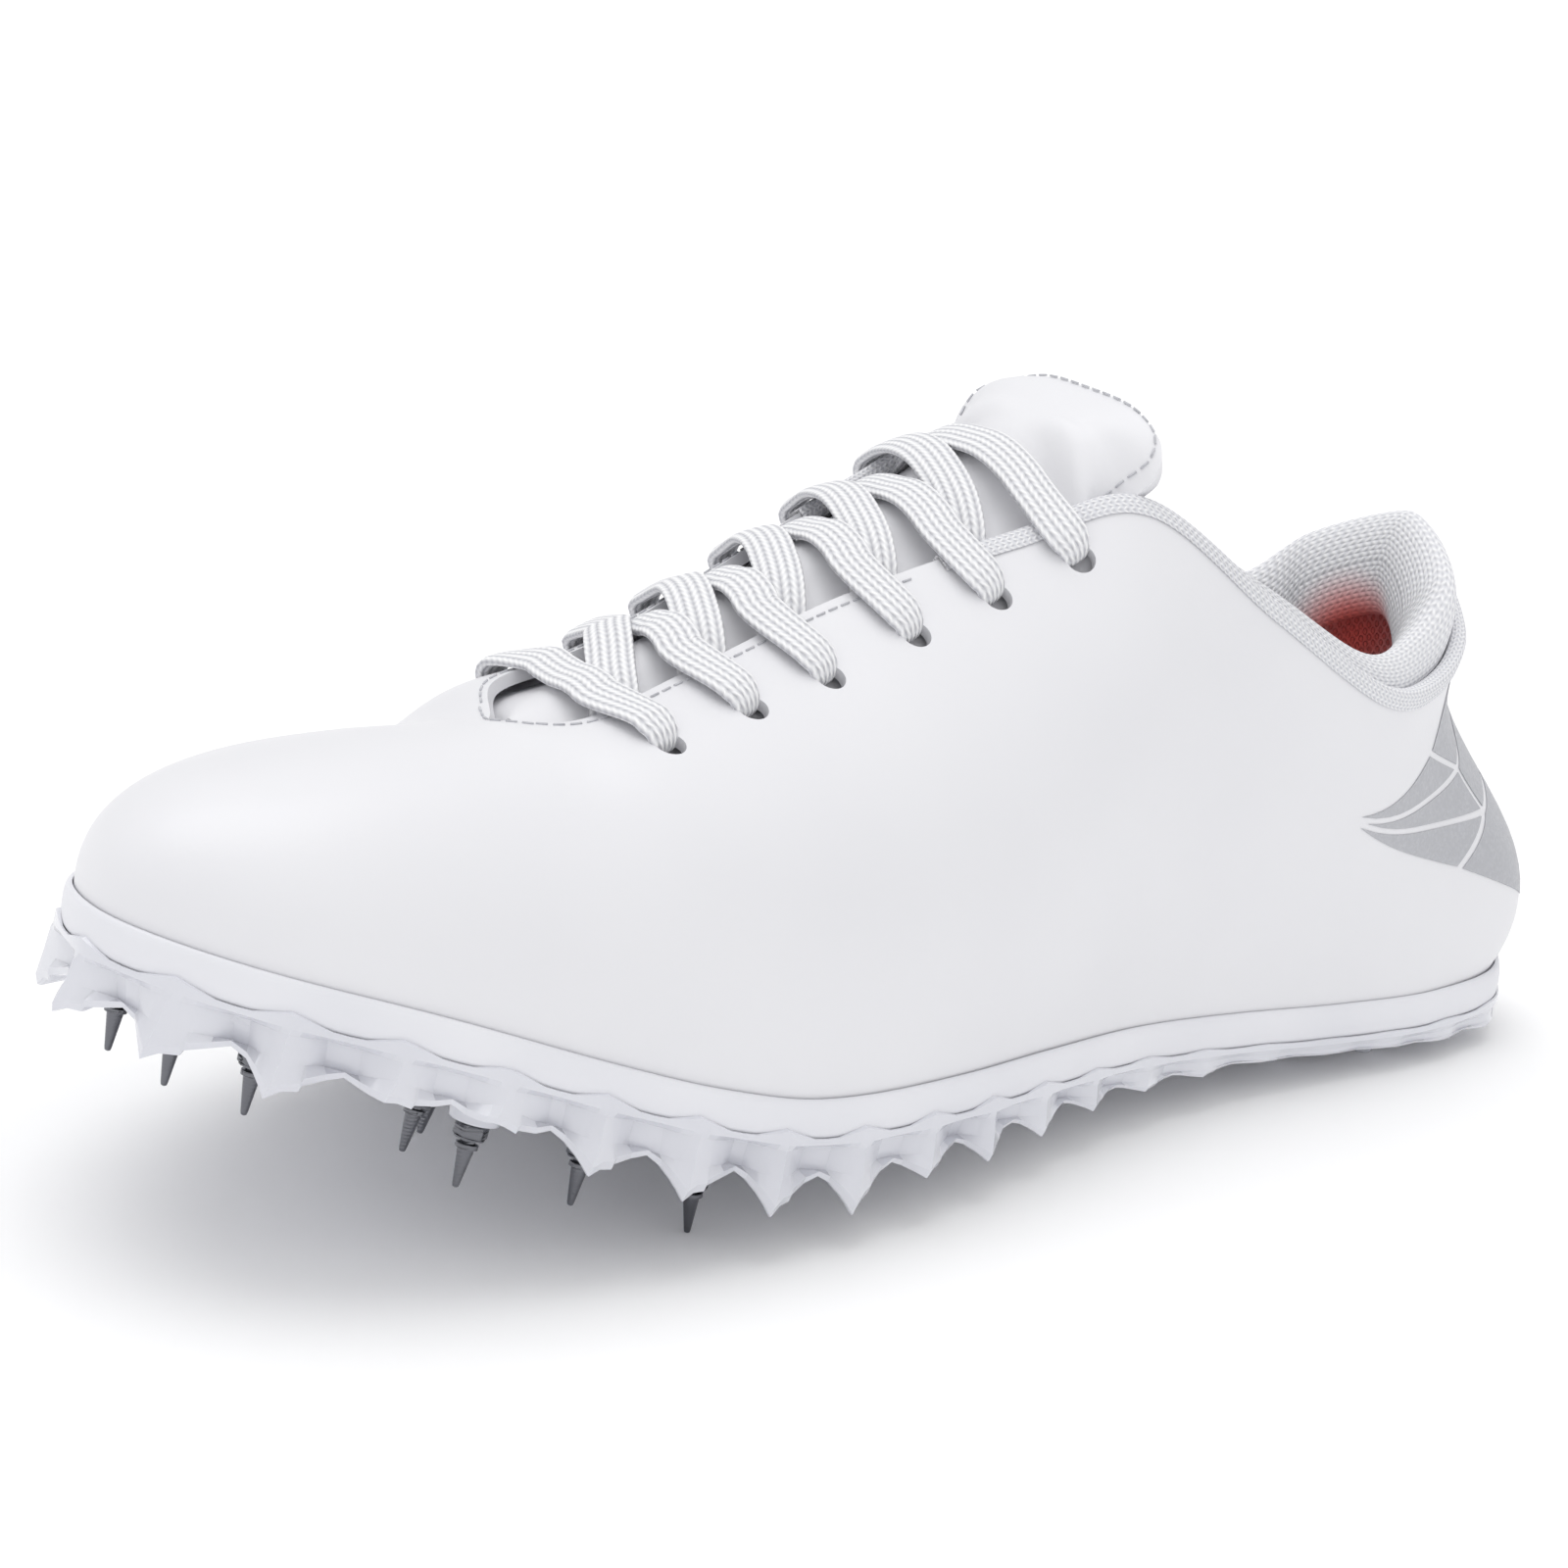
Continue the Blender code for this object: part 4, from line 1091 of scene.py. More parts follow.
# Sewing thread, grey from the shade of its own holes
SEWN_THREAD = Moulded("polyester_thread_twisted", "D8D9DD", 0.7, shaded="A9AAB0", patch=1.4 * MM)
# Turned and plated steel: a mirror with bright edges, whose dark base colour is painted dark reflection
PIN_STEEL = TurnedSteel("steel_pin_turned_plated", "717277", 0.12, metallic=1.0)
# Painted studio floor: even and matt, so that only the shadow shows on it
STUDIO_PAINT = Moulded("studio_floor_painted", "FFFFFF", 0.9, shaded="FBFBFC", patch=900 * MM)


def dress(item: bpy.types.Object, finish: Finish) -> None:
    """Give an object one finish all over."""
    item.data.materials.clear()
    item.data.materials.append(finish.build())


def settle(item: bpy.types.Object, finish: Finish, angle: float, slot: str, *nodes: str) -> None:
    """Shade and dress a piece, hide the solids that it stands for and hang it under the body.

    Args:
        item: the piece.
        finish: its finish.
        angle: edges sharper than this, in degrees, stay crisp.
        slot: not used.
        nodes: solids that the piece stands for.
    """
    shade(item, angle)
    dress(item, finish)
    if nodes:
        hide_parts(*nodes)
    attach(item, BODY)
    log.info("%s: %d faces", item.name, len(item.data.polygons))


@dataclass
class Upper:
    """One moulded shell over the last, open at the throat, the collar and underneath."""

    columns_per_rib: int = 14
    rows: int = 56
    seam_smoothings: int = 60
    seam_weld: float = 0.35 * MM
    seam_back: float = 1 * MM
    seam_toe: float = 14 * MM
    seam_reach: float = 13 * MM
    seam_floor: float = 0.55 * INSTEP_HEIGHT
    hole_radius: float = 2.3 * MM
    hole_sides: int = 28
    peg_length: float = 3 * UPPER_WALL

    def build(self) -> None:
        """Make the shell with its eyelets."""
        item = shaped_grid("upper_shell", RIB_COUNT * self.columns_per_rib, self.rows,
                           lambda a, b: LAST.at(a * RIB_COUNT, b))
        weld(item, self.seam_weld)
        self.smooth_seam(item)
        apply_modifier(item, "SOLIDIFY", thickness=UPPER_WALL, offset=-1)
        self.punch(item)
        settle(item, PU_SKIN, 50, "upper_pu", "upper")

    def smooth_seam(self, item: bpy.types.Object) -> None:
        """Round the ridge where the two sides meet over the toes.

        Args:
            item: the shell.
        """
        seam_x = LAST.rib_top(SEAM_RIBS).x + LAST.shift.x - self.seam_back
        toe_x = LAST.rib_top(0).x + LAST.shift.x - self.seam_toe
        seam_y = LAST.rib_top(SEAM_RIBS - 1).y + LAST.shift.y
        edit(item, Select.VERTS, lambda vert: toe_x < vert.co.x < seam_x
             and abs(vert.co.y - seam_y) < self.seam_reach and vert.co.z > self.seam_floor)
        bpy.ops.mesh.vertices_smooth(factor=0.5, repeat=self.seam_smoothings)
        leave_edit()

    def punch(self, item: bpy.types.Object) -> None:
        """Cut the eyelet holes through the wall.

        Args:
            item: the shell.
        """
        pegs = []
        for eyelet in EYELETS:
            for place in (eyelet.rib, mirrored(eyelet.rib)):
                deselect_all()
                turn = LAST.normal(place, eyelet.height).to_track_quat("Z", "Y").to_euler()
                bpy.ops.mesh.primitive_cylinder_add(
                    vertices=self.hole_sides, radius=self.hole_radius, depth=self.peg_length,
                    location=LAST.at(place, eyelet.height, -UPPER_WALL / 2), rotation=turn)
                pegs.append(bpy.context.object)
        cutter = join(pegs, "eyelet_pegs")
        apply_modifier(item, "BOOLEAN", object=cutter, operation="DIFFERENCE", solver="EXACT")
        bpy.data.objects.remove(cutter)


@dataclass
class Band:
    """Foam band under the upper, round at its side, with a lip round the upper's foot."""

    columns: int = 420
    rows: int = 26
    lip_lean: float = 0.3 * MM
    lip_foot: float = 0.1 * MM
    side: tuple = ((0.20, 0.00), (0.08, 0.03), (0.02, 0.14), (0.00, 0.40), (0.015, 0.64), (0.05, 0.84),
                   (0.10, 0.96))

    def build(self) -> None:
        """Make the band with its floor under the foot."""
        rows = [(inset * BAND_HEIGHT, height * BAND_HEIGHT) for inset, height in self.side]
        rows.append((LIP_WIDTH + self.lip_lean, BAND_HEIGHT))
        rows.append((LIP_WIDTH + self.lip_foot, BAND_HEIGHT - LIP_HEIGHT))

        def point(a: float, b: float) -> Vector:
            """Point of the band for a share of the outline and a share of the way round its side.

            Args:
                a: share of the outline.
                b: share of the side.

            Returns:
                The point.
            """
            place = b * (len(rows) - 1)
            start = min(int(place), len(rows) - 2)
            low, high = rows[start], rows[start + 1]
            part = place - start
            inset, height = (low[k] + (high[k] - low[k]) * part for k in (0, 1))
            return LAST.edge_point(a * RIB_COUNT, inset, height) + LAST.shift

        item = closed_grid("midsole_band", self.columns, self.rows, point)
        settle(item, FOAM_BAND, 50, "foam", "midsole")


@dataclass
class CollarRoll:
    """Padded knit roll round the collar, thick at the heel and thin at the eyestays."""

    columns: int = 260
    sides: int = 40
    roll: tuple = (8 * MM, 7.5 * MM, 10 * MM)
    thin: tuple = (2.6 * MM, 2.2 * MM, 4 * MM)
    start: float = EYESTAY_RIB + 0.35
    swell_rate: float = 1.6
    swell_start: float = 0.1
    swell_power: float = 1.2
    tip_power: int = 40
    tip_least: float = 0.02

    def swell(self, place: float) -> float:
        """Share of the roll's full size at a place."""
        part = 1 - abs(place - HEEL_RIB) / (HEEL_RIB - EYESTAY_RIB)
        return min(max(part * self.swell_rate - self.swell_start, 0), 1) ** self.swell_power

    def point(self, a: float, b: float) -> Vector:
        """Point of the roll for a share of its length and a share of the way round it.

        Args:
            a: share of the length.
            b: share of the way round.

        Returns:
            The point.
        """
        end = mirrored(self.start)
        place = self.start + (end - self.start) * a
        swell = self.swell(place)
        width, rise, depth = (thin + (full - thin) * swell for thin, full in zip(self.thin, self.roll))
        tip = math.sqrt(max(1 - abs(2 * a - 1) ** self.tip_power, self.tip_least))
        edge, normal, up = LAST.rim(place)
        angle = 2 * math.pi * b
        across = UPPER_WALL + 2 * CLEARANCE + width / 2 * (1 + tip * math.cos(angle))
        high = (rise - depth) / 2 + (rise + depth) / 2 * tip * math.sin(angle)
        return edge - normal * across + up * high + LAST.shift

    def build(self) -> None:
        """Make the roll."""
        item = closed_grid("collar_roll", self.columns, self.sides, self.point)
        add_patch(item)
        settle(item, KNIT_ROLL, 60, "knit", "collar_cuff")


def add_patch(item: bpy.types.Object) -> None:
    """Mark where the lining is dyed warm, inside the heel on the outer side.

    Args:
        item: piece that gets the attribute warm_patch.
    """
    middle = LAST.at(*PATCH_MIDDLE)
    values = []
    for vert in item.data.vertices:
        away = vert.co - middle
        distance = math.sqrt(sum((away[k] / PATCH_REACH[k]) ** 2 for k in range(3)))
        values.append(smooth_step(PATCH_EDGE - distance))
    layer = item.data.attributes.new("warm_patch", "FLOAT", "POINT")
    layer.data.foreach_set("value", values)


@dataclass
class Lining:
    """Mesh lining inside the wall, from the sock up to the roll."""

    columns: int = 300
    rows: int = 40
    start: float = 8.7
    gap: float = 0.25 * MM
    thickness: float = 0.9 * MM
    foot: float = 0.03
    top: float = 0.74
    top_rise: float = 0.20

    def build(self) -> None:
        """Make the lining."""
        end = mirrored(self.start)

        def point(a: float, b: float) -> Vector:
            """Point of the lining for a share of its length and a share of its height.

            Args:
                a: share of the length.
                b: share of the height.

            Returns:
                The point.
            """
            place = self.start + (end - self.start) * a
            top = self.top + self.top_rise * smooth_step(min(place - self.start, end - place))
            share = self.foot + (top - self.foot) * b
            return LAST.at(place, share, -(UPPER_WALL + self.gap))

        item = shaped_grid("collar_lining", self.columns, self.rows, point)
        apply_modifier(item, "SOLIDIFY", thickness=self.thickness, offset=-1)
        add_patch(item)
        settle(item, LINING_MESH, 50, "lining")


@dataclass
class Tape:
    """Woven tape folded over the edge of the collar and the top of the throat."""

    columns: int = 620
    section: tuple = ((0.15, -2.4), (0.42, -2.2), (0.55, -1.2), (0.5, -0.1), (0.25, 0.55), (-0.4, 0.85),
                      (-1.3, 0.85), (-2.0, 0.5), (-2.25, -0.1), (-2.3, -1.0), (-2.0, -1.2), (-1.95, -0.2),
                      (-1.4, 0.2), (-0.4, 0.2), (0.12, -0.1), (0.12, -1.2))
    start: float = 7.55

    def point(self, a: float, b: float) -> Vector:
        """Point of the tape for a share of its length and a share of the way round it.

        Args:
            a: share of the length.
            b: share of the way round.

        Returns:
            The point.
        """
        place = self.start + (mirrored(self.start) - self.start) * a
        count = len(self.section)
        out, high = ring_curve(self.section, b * count)
        edge, normal, up = LAST.rim(place)
        return edge + (normal * out + up * high) * MM + LAST.shift

    def build(self) -> None:
        """Make the tape."""
        item = closed_grid("collar_tape", self.columns, len(self.section) * 2, self.point)
        settle(item, KNIT_TAPE, 60, "knit")


@dataclass
class Tongue:
    """Padded tongue from under the vamp to its arched free top."""

    columns: int = 150
    rows: int = 72
    thickness: float = 2.6 * MM
    drop: float = 0.7 * MM
    edge_round: float = 0.9 * MM
    edge_power: int = 4
    hump_power: float = 1.5
    hem_inset: tuple = (0.045, 0.985)
    hem_corner: float = 0.03

    def net(self) -> list[list[Vector]]:
        """Net of points on the tongue's outer face.

        Returns:
            Rows of points from the toe end to the free top.
        """
        rows = [self.row(rib) for rib in TONGUE_RIBS]
        count = len(rows[0])
        for top in TONGUE_TOP:
            line = []
            for k in range(count):
                share = 2 * k / (count - 1) - 1
                height = top.crest + (top.edge - top.crest) * share ** self.edge_power + top.tilt * share
                across = top.middle + share * top.half_width
                line.append(Vector((LENGTH * (0.5 - top.along), BALL_WIDTH * across,
                                    height * INSTEP_HEIGHT)))
            rows.append(line)
        return rows

    def row(self, rib: float) -> list[Vector]:
        """Points across the tongue where it lies under the upper at a rib.

        Args:
            rib: place on the inner side.

        Returns:
            Points from the inner to the outer edge.
        """
        depth = UPPER_WALL + 2 * CLEARANCE + self.drop
        near = [LAST.surface(rib, share) - LAST.normal(rib, share) * depth for share in TONGUE_HEM]
        other = mirrored(rib)
        far = [LAST.surface(other, share) - LAST.normal(other, share) * depth
               for share in reversed(TONGUE_HEM)]
        crest = LAST.crest((near[-1].x + far[0].x) / 2)
        span = []
        for k in range(1, TONGUE_SPAN + 1):
            share = k / (TONGUE_SPAN + 1)
            point = near[-1].lerp(far[0], share)
            hump = (1 - (2 * share - 1) ** 2) ** self.hump_power
            point.z += hump * max(crest - (near[-1].z + far[0].z) / 2, 0)
            span.append(point)
        return near + span + far

    def build(self) -> None:
        """Make the tongue."""
        rows = self.net()
        item = shaped_grid("tongue_padded", self.columns, self.rows,
                           lambda a, b: blended_points(rows, a, b) + LAST.shift)
        apply_modifier(item, "SOLIDIFY", thickness=self.thickness, offset=-1)
        apply_modifier(item, "BEVEL", width=self.edge_round, segments=3, limit_method="ANGLE",
                       angle_limit=math.radians(50))
        settle(item, PU_TONGUE, 50, "upper_pu", "tongue")

    def hem_line(self) -> list[Vector]:
        """Line of the stitches inside the free top's edge.

        Returns:
            Points from the near side over the top to the far side.
        """
        rows = self.net()
        near, top = self.hem_inset
        line = [(k / 100, near) for k in range(60, 98, 2)]
        line += [(top - self.hem_corner * abs(k / 50 - 1) ** 8, k / 100) for k in range(8, 93, 4)]
        line += [(k / 100, 1 - near) for k in range(96, 58, -2)]
        raised = Vector((-0.1, 0, 0.25)) * MM
        return [blended_points(rows, a, b) + LAST.shift + raised for a, b in line]


@dataclass
class Lace:
    """One flat braid through the twelve eyelets: a bar over each pair, a diagonal up to the next."""

    width: float = 6.9 * MM
    thickness: float = 1.7 * MM
    sides: int = 28
    steps: int = 64
    squareness: float = 2.7
    slope_reach: float = 0.3
    least_step: float = 0.2 * MM
    pressed: float = 0.6
    bar_ends: tuple = (0.08, -0.10)
    diagonal_ends: tuple = (0.0, -0.03)
    profile: tuple = ((0.0, -2.6), (0.13, -0.7), (0.25, 0.5), (0.36, 0.95), (0.46, 1.2), (0.57, 1.95),
                      (0.67, 2.3), (0.78, 2.15), (0.90, 1.75))
    first_profile: tuple = ((0.10, 1.3), (0.3, 1.2), (0.46, 1.3), (0.57, 1.7), (0.67, 2.0), (0.78, 2.0),
                            (0.90, 1.7))
    down: tuple = ((5.0, 1.45, 1, 1), (3.2, 1.3, 0.97, 1), (1.7, 0.65, 0.80, 1.15), (0.9, -0.9, 0.64, 1.2),
                   (1.4, -2.3, 0.70, 0.7))
    under: tuple = ((3.2, -2.45, 0.92, 0.5),)

    def throat(self, rib: float, across: float, raised: float) -> Vector:
        """Point over the throat.

        Args:
            rib: place on the inner side.
            across: 0 at the inner edge of the throat, 1 at the outer edge.
            raised: height over the tongue's hump.

        Returns:
            The point.
        """
        near = LAST.surface(rib, 1) + LAST.normal(rib, 1) * raised
        far = LAST.surface(mirrored(rib), 1) + LAST.normal(mirrored(rib), 1) * raised
        point = near.lerp(far, across)
        hump = 1 - (2 * across - 1) ** 2
        point.z += hump * max(LAST.crest(point.x) + raised - (near.z + far.z) / 2, 0)
        return point

    def run(self, low: Eyelet, high: Eyelet, from_near: bool, first: bool = False) -> list[tuple]:
        """Stops of one run from an eyelet, under its edge, to the other side's eyelet.

        Args:
            low: eyelet that the run starts from.
            high: eyelet that it goes into from above, at the same height for a bar.
            from_near: whether it starts on the inner side.
            first: whether it is the lowest bar, which comes up through its first eyelet.

        Returns:
            Rows of point, width share, thickness share and the lace's crosswise direction.
        """
        start, end = low.rib, mirrored(high.rib)
        if not from_near:
            start, end = mirrored(low.rib), high.rib
        chord = (LAST.surface(end, high.height) - LAST.surface(start, low.height)).normalized()
        middle = (low.rib + high.rib) / 2
        slope = (self.throat(middle - self.slope_reach, 0.5, 0)
                 - self.throat(middle + self.slope_reach, 0.5, 0))
        crosswise = (slope - chord * slope.dot(chord)).normalized()
        shifts = self.bar_ends if low is high else self.diagonal_ends
        ribs = (low.rib + shifts[0], high.rib + shifts[1])
        edges = (0.0, 1.0) if from_near else (1.0, 0.0)
        stops = []

        def hole(eyelet: Eyelet, at: float, edge_rib: float, edge: float, rows: Iterable[tuple]) -> None:
            """Add the stops at an eyelet, set out from its centre.

            Args:
                eyelet: the eyelet.
                at: its place round the sole.
                edge_rib: rib where the lace crosses the edge.
                edge: which edge of the throat, as for throat.
                rows: back, up, width share and thickness share.
            """
            centre = LAST.surface(at, eyelet.height)
            normal = LAST.normal(at, eyelet.height)
            out = centre - self.throat(edge_rib, edge, 0)
            out = (out - normal * out.dot(normal)).normalized()
            level = normal.cross(out)
            if level.dot(crosswise) < 0:
                level = -level
            for back, up, wide, thick in rows:
                stops.append((centre - out * back * MM + normal * up * MM, wide, thick, level))

        hole(low, start, ribs[0], edges[0], reversed(self.down) if first else self.under)
        for across, raised in self.first_profile if first else self.profile:
            rib = ribs[0] + (ribs[1] - ribs[0]) * across
            along = across if from_near else 1 - across
            thick = self.pressed if raised < -2 else 1
            stops.append((self.throat(rib, along, raised * MM), 1, thick, crosswise))
        hole(high, end, ribs[1], edges[1], self.down)
        return stops

    def samples(self, stops: Sequence[tuple], count: int) -> list[tuple]:
        """Even steps along a smooth path through the stops.

        Args:
            stops: rows of point, width share, thickness share and crosswise direction.
            count: number of steps.

        Returns:
            A row of the same four values for each step and one more for the end.
        """
        places = [stop[0] for stop in stops]
        lengths = [0.0]
        for a, b in zip(places, places[1:]):
            lengths.append(lengths[-1] + math.sqrt(max((b - a).length, self.least_step)))
        last = len(stops) - 1
        slopes = []
        for k in range(last + 1):
            before, after = max(k - 1, 0), min(k + 1, last)
            slopes.append((places[after] - places[before]) / (lengths[after] - lengths[before]))
        rows = []
        for k in range(count + 1):
            goal = k / count * lengths[-1]
            index = min(max(int(np.searchsorted(lengths, goal, side="right")) - 1, 0), last - 1)
            step = lengths[index + 1] - lengths[index]
            part = (goal - lengths[index]) / step
            point = between(places[index], places[index + 1], slopes[index] * step,
                            slopes[index + 1] * step, part)
            low, high = stops[index], stops[index + 1]
            ease = smooth_step(part)
            wide, thick = (low[j] + (high[j] - low[j]) * ease for j in (1, 2))
            rows.append((point, wide, thick, low[3].lerp(high[3], ease).normalized()))
        return rows

    def build(self) -> None:
        """Make the lace as one long braid, closed at both ends."""
        stops = self.run(EYELETS[0], EYELETS[0], False, True)
        for low, high in zip(EYELETS, EYELETS[1:]):
            stops += self.run(low, high, True)
            stops += self.run(high, high, False)
        count = self.steps * (len(EYELETS) * 2 - 1)
        samples = self.samples(stops, count)

        def point(a: float, b: float) -> Vector:
            """Point of the braid's flattened round for two shares.

            Args:
                a: share of the length.
                b: share of the way round.

            Returns:
                The point.
            """
            index = round(a * count)
            middle, wide, thick, cross = samples[index]
            ahead = samples[min(index + 1, count)][0] - samples[max(index - 1, 0)][0]
            run = ahead.normalized()
            side = (cross - run * cross.dot(run)).normalized()
            up = side.cross(run)
            angle = 2 * math.pi * b
            c, s = math.cos(angle), math.sin(angle)
            flat = 2 / self.squareness
            x = math.copysign(abs(c) ** flat, c) * self.width / 2 * wide
            y = math.copysign(abs(s) ** flat, s) * self.thickness / 2 * thick
            return middle + side * x + up * y + LAST.shift

        item = closed_grid("lace_braid", count, self.sides, point)
        settle(item, LACE_BRAID, 70, "lace", "laces")


@dataclass
class Stitching:
    """Lines of sewn stitches, each a short thread that dips into the skin at both ends."""

    pitch: float = 2.3 * MM
    length: float = 1.5 * MM
    radius: float = 0.17 * MM
    tip_inset: float = 0.45
    tip_depth: float = 0.35
    raised: float = 0.12 * MM
    inset: float = 1.6 * MM
    front: float = 4.45
    end: float = 7.4
    path_steps: int = 60
    front_steps: int = 24
    front_reach: float = 0.42
    front_drop: float = 0.035

    def line(self, name: str, points: Sequence[Vector]) -> None:
        """Lay one line of stitches along a path.

        Args:
            name: name of the line.
            points: the path.
        """
        deselect_all()
        bpy.ops.mesh.primitive_cylinder_add(vertices=8, radius=self.radius, depth=self.length,
                                            rotation=(0, math.radians(90), 0))
        item = named_primitive(name)
        bpy.ops.object.transform_apply(location=False, rotation=True, scale=False)
        edit(item, Select.FACES, lambda face: abs(face.normal.x) > 0.9)
        bpy.ops.mesh.inset(thickness=self.radius * self.tip_inset, depth=self.radius * self.tip_depth)
        leave_edit()
        item.data.transform(Matrix.Translation((self.pitch / 2, 0, 0)))
        path = bpy.data.curves.new(name + "_path", "CURVE")
        path.dimensions = "3D"
        spline = path.splines.new("POLY")
        spline.points.add(len(points) - 1)
        for spot, point in zip(spline.points, points):
            spot.co = (*point, 1)
        track = bpy.data.objects.new(name + "_path", path)
        bpy.context.scene.collection.objects.link(track)
        total = sum((b - a).length for a, b in zip(points, points[1:]))
        apply_modifier(item, "ARRAY", count=max(int(total / self.pitch), 1), use_relative_offset=False,
                       use_constant_offset=True, constant_offset_displace=(self.pitch, 0, 0))
        apply_modifier(item, "CURVE", object=track, deform_axis="POS_X")
        bpy.data.objects.remove(track)
        settle(item, SEWN_THREAD, 60, "upper_pu")

    def edge_path(self, far: bool) -> list[Vector]:
        """Path beside the throat's edge.

        Args:
            far: whether the path lies on the outer side.

        Returns:
            Points of the path.
        """
        path = []
        for k in range(self.path_steps + 1):
            place = self.front + (self.end - self.front) * k / self.path_steps
            place = mirrored(place) if far else place
            height = (LAST.surface(place, 1) - LAST.surface(place, 0.9)).length / 0.1
            path.append(LAST.at(place, 1 - self.inset / height, self.raised))
        return path

    def build(self, tongue: Tongue) -> None:
        """Make every line.

        Args:
            tongue: tongue whose hem is sewn.
        """
        for far in (False, True):
            side = "outer" if far else "inner"
            self.line(f"throat_stitch_{side}", self.edge_path(far))
        self.line("tongue_hem_stitch", tongue.hem_line())
        self.line("throat_front_stitch", self.front_path())

    def front_path(self) -> list[Vector]:
        """Path of the stitches round the closed front end of the throat.

        Returns:
            Points from the inner to the outer side.
        """
        path = []
        for k in range(self.front_steps + 1):
            turn = math.pi * k / self.front_steps
            place = self.front - self.front_reach * math.sin(turn)
            share = 1 - self.front_drop * abs(math.cos(turn))
            if turn > math.pi / 2:
                place = mirrored(place)
            path.append(LAST.at(place, share, self.raised))
        return path


@dataclass
class HeelPrint:
    """Flat silver facets across the heel, parted by bare lines: a plain geometric design."""

    gap: float = 1.5 * MM
    raised: float = 0.06 * MM
    thickness: float = 0.1 * MM
    cuts: int = 9
    place_size: float = 22 * MM
    share_size: float = 72 * MM
    facets: tuple = (
        ((10.70, 0.590), (12.75, 0.655), (12.09, 0.777)),
        ((10.70, 0.590), (12.90, 0.500), (12.75, 0.655)),
        ((10.70, 0.590), (12.23, 0.367), (12.90, 0.500)),
        ((12.09, 0.777), (12.75, 0.655), (14.00, 0.800), (14.00, 0.985), (12.85, 0.975)),
        ((12.75, 0.655), (12.90, 0.500), (14.00, 0.560), (14.00, 0.800)),
        ((12.90, 0.500), (12.23, 0.367), (13.16, 0.184), (14.00, 0.150), (14.00, 0.560)),
    )

    def build(self) -> None:
        """Make all the facets as one print."""
        facets = []
        for number, corners in enumerate(self.facets):
            other = tuple((mirrored(place), share) for place, share in reversed(corners))
            facets.append(self.facet(f"facet_{number}_inner", corners))
            facets.append(self.facet(f"facet_{number}_outer", other))
        item = join(facets, "heel_print")
        apply_modifier(item, "SOLIDIFY", thickness=self.thickness, offset=1)
        settle(item, SILVER_FILM, 50, "upper_pu")

    def facet(self, name: str, corners: Sequence[tuple[float, float]]) -> bpy.types.Object:
        """Make one facet: a polygon in the flat, inset, cut fine and laid on the last.

        Args:
            name: name of the facet.
            corners: place and share of each corner.

        Returns:
            The facet.
        """
        deselect_all()
        bpy.ops.mesh.primitive_circle_add(vertices=len(corners), radius=10 * MM, fill_type="NGON")
        item = named_primitive(name)
        for vert, (place, share) in zip(item.data.vertices, corners):
            vert.co = ((place - HEEL_RIB) * self.place_size, share * self.share_size, 0)
        edit(item)
        bpy.ops.mesh.normals_make_consistent(inside=False)
        bpy.ops.mesh.select_mode(type="FACE")
        bpy.ops.mesh.select_all(action="SELECT")
        bpy.ops.mesh.inset(thickness=self.gap / 2, depth=0)
        bpy.ops.mesh.select_all(action="INVERT")
        bpy.ops.mesh.delete(type="FACE")
        bpy.ops.mesh.select_all(action="SELECT")
        bpy.ops.mesh.quads_convert_to_tris()
        bpy.ops.mesh.subdivide(number_cuts=self.cuts)
        leave_edit()
        for vert in item.data.vertices:
            place, share = vert.co.x / self.place_size + HEEL_RIB, vert.co.y / self.share_size
            vert.co = LAST.at(place, min(share, NEAR_RIM), self.raised)
        item.data.update()
        return item


@dataclass
class Pins:
    """Spike pins: a six-sided foot, a collar and a tapered point."""

    hex_radius: float = 2.4 * MM
    hex_soft: float = 0.25 * MM
    sides: int = 28
    profile: tuple = ((2.1, 7.0), (2.05, 6.75), (1.1, 6.6), (1.05, 6.2), (1.55, 6.05), (1.55, 5.45),
                      (1.15, 5.3), (0.5, 0.5), (0.4, 0.12), (0.22, 0.0))

    def build(self) -> None:
        """Model one pin and put a copy in each seat."""
        model = self.model()
        for row in PINS:
            pin = copy_of(model, "pin_" + row.name, LAST.pin_frame(row)[0])
            settle(pin, PIN_STEEL, 35, "pin_steel", "spike_" + row.name)
        bpy.data.objects.remove(model)

    def model(self) -> bpy.types.Object:
        """Make one pin with its tip at the origin.

        Returns:
            The model.
        """
        deselect_all()
        bpy.ops.mesh.primitive_cylinder_add(vertices=6, radius=self.hex_radius, depth=HEX_HEIGHT)
        foot = named_primitive("pin_model")
        foot.data.transform(Matrix.Translation((0, 0, PIN_LENGTH + HEX_HEIGHT / 2)))
        apply_modifier(foot, "BEVEL", width=self.hex_soft, segments=2, limit_method="ANGLE")
        deselect_all()
        radius, height = self.profile[0]
        bpy.ops.mesh.primitive_circle_add(vertices=self.sides, radius=radius * MM, fill_type="NGON",
                                          location=(0, 0, height * MM))
        point = named_primitive("pin_point")
        bpy.ops.object.transform_apply(location=True, rotation=False, scale=False)
        edit(point)
        for next_radius, next_height in self.profile[1:]:
            bpy.ops.mesh.extrude_region_move(
                TRANSFORM_OT_translate={"value": (0, 0, (next_height - height) * MM)})
            scale = next_radius / radius
            bpy.ops.transform.resize(value=(scale, scale, 1), center_override=(0, 0, next_height * MM))
            radius, height = next_radius, next_height
        face_outwards(point)
        return join([foot, point], "pin_model")


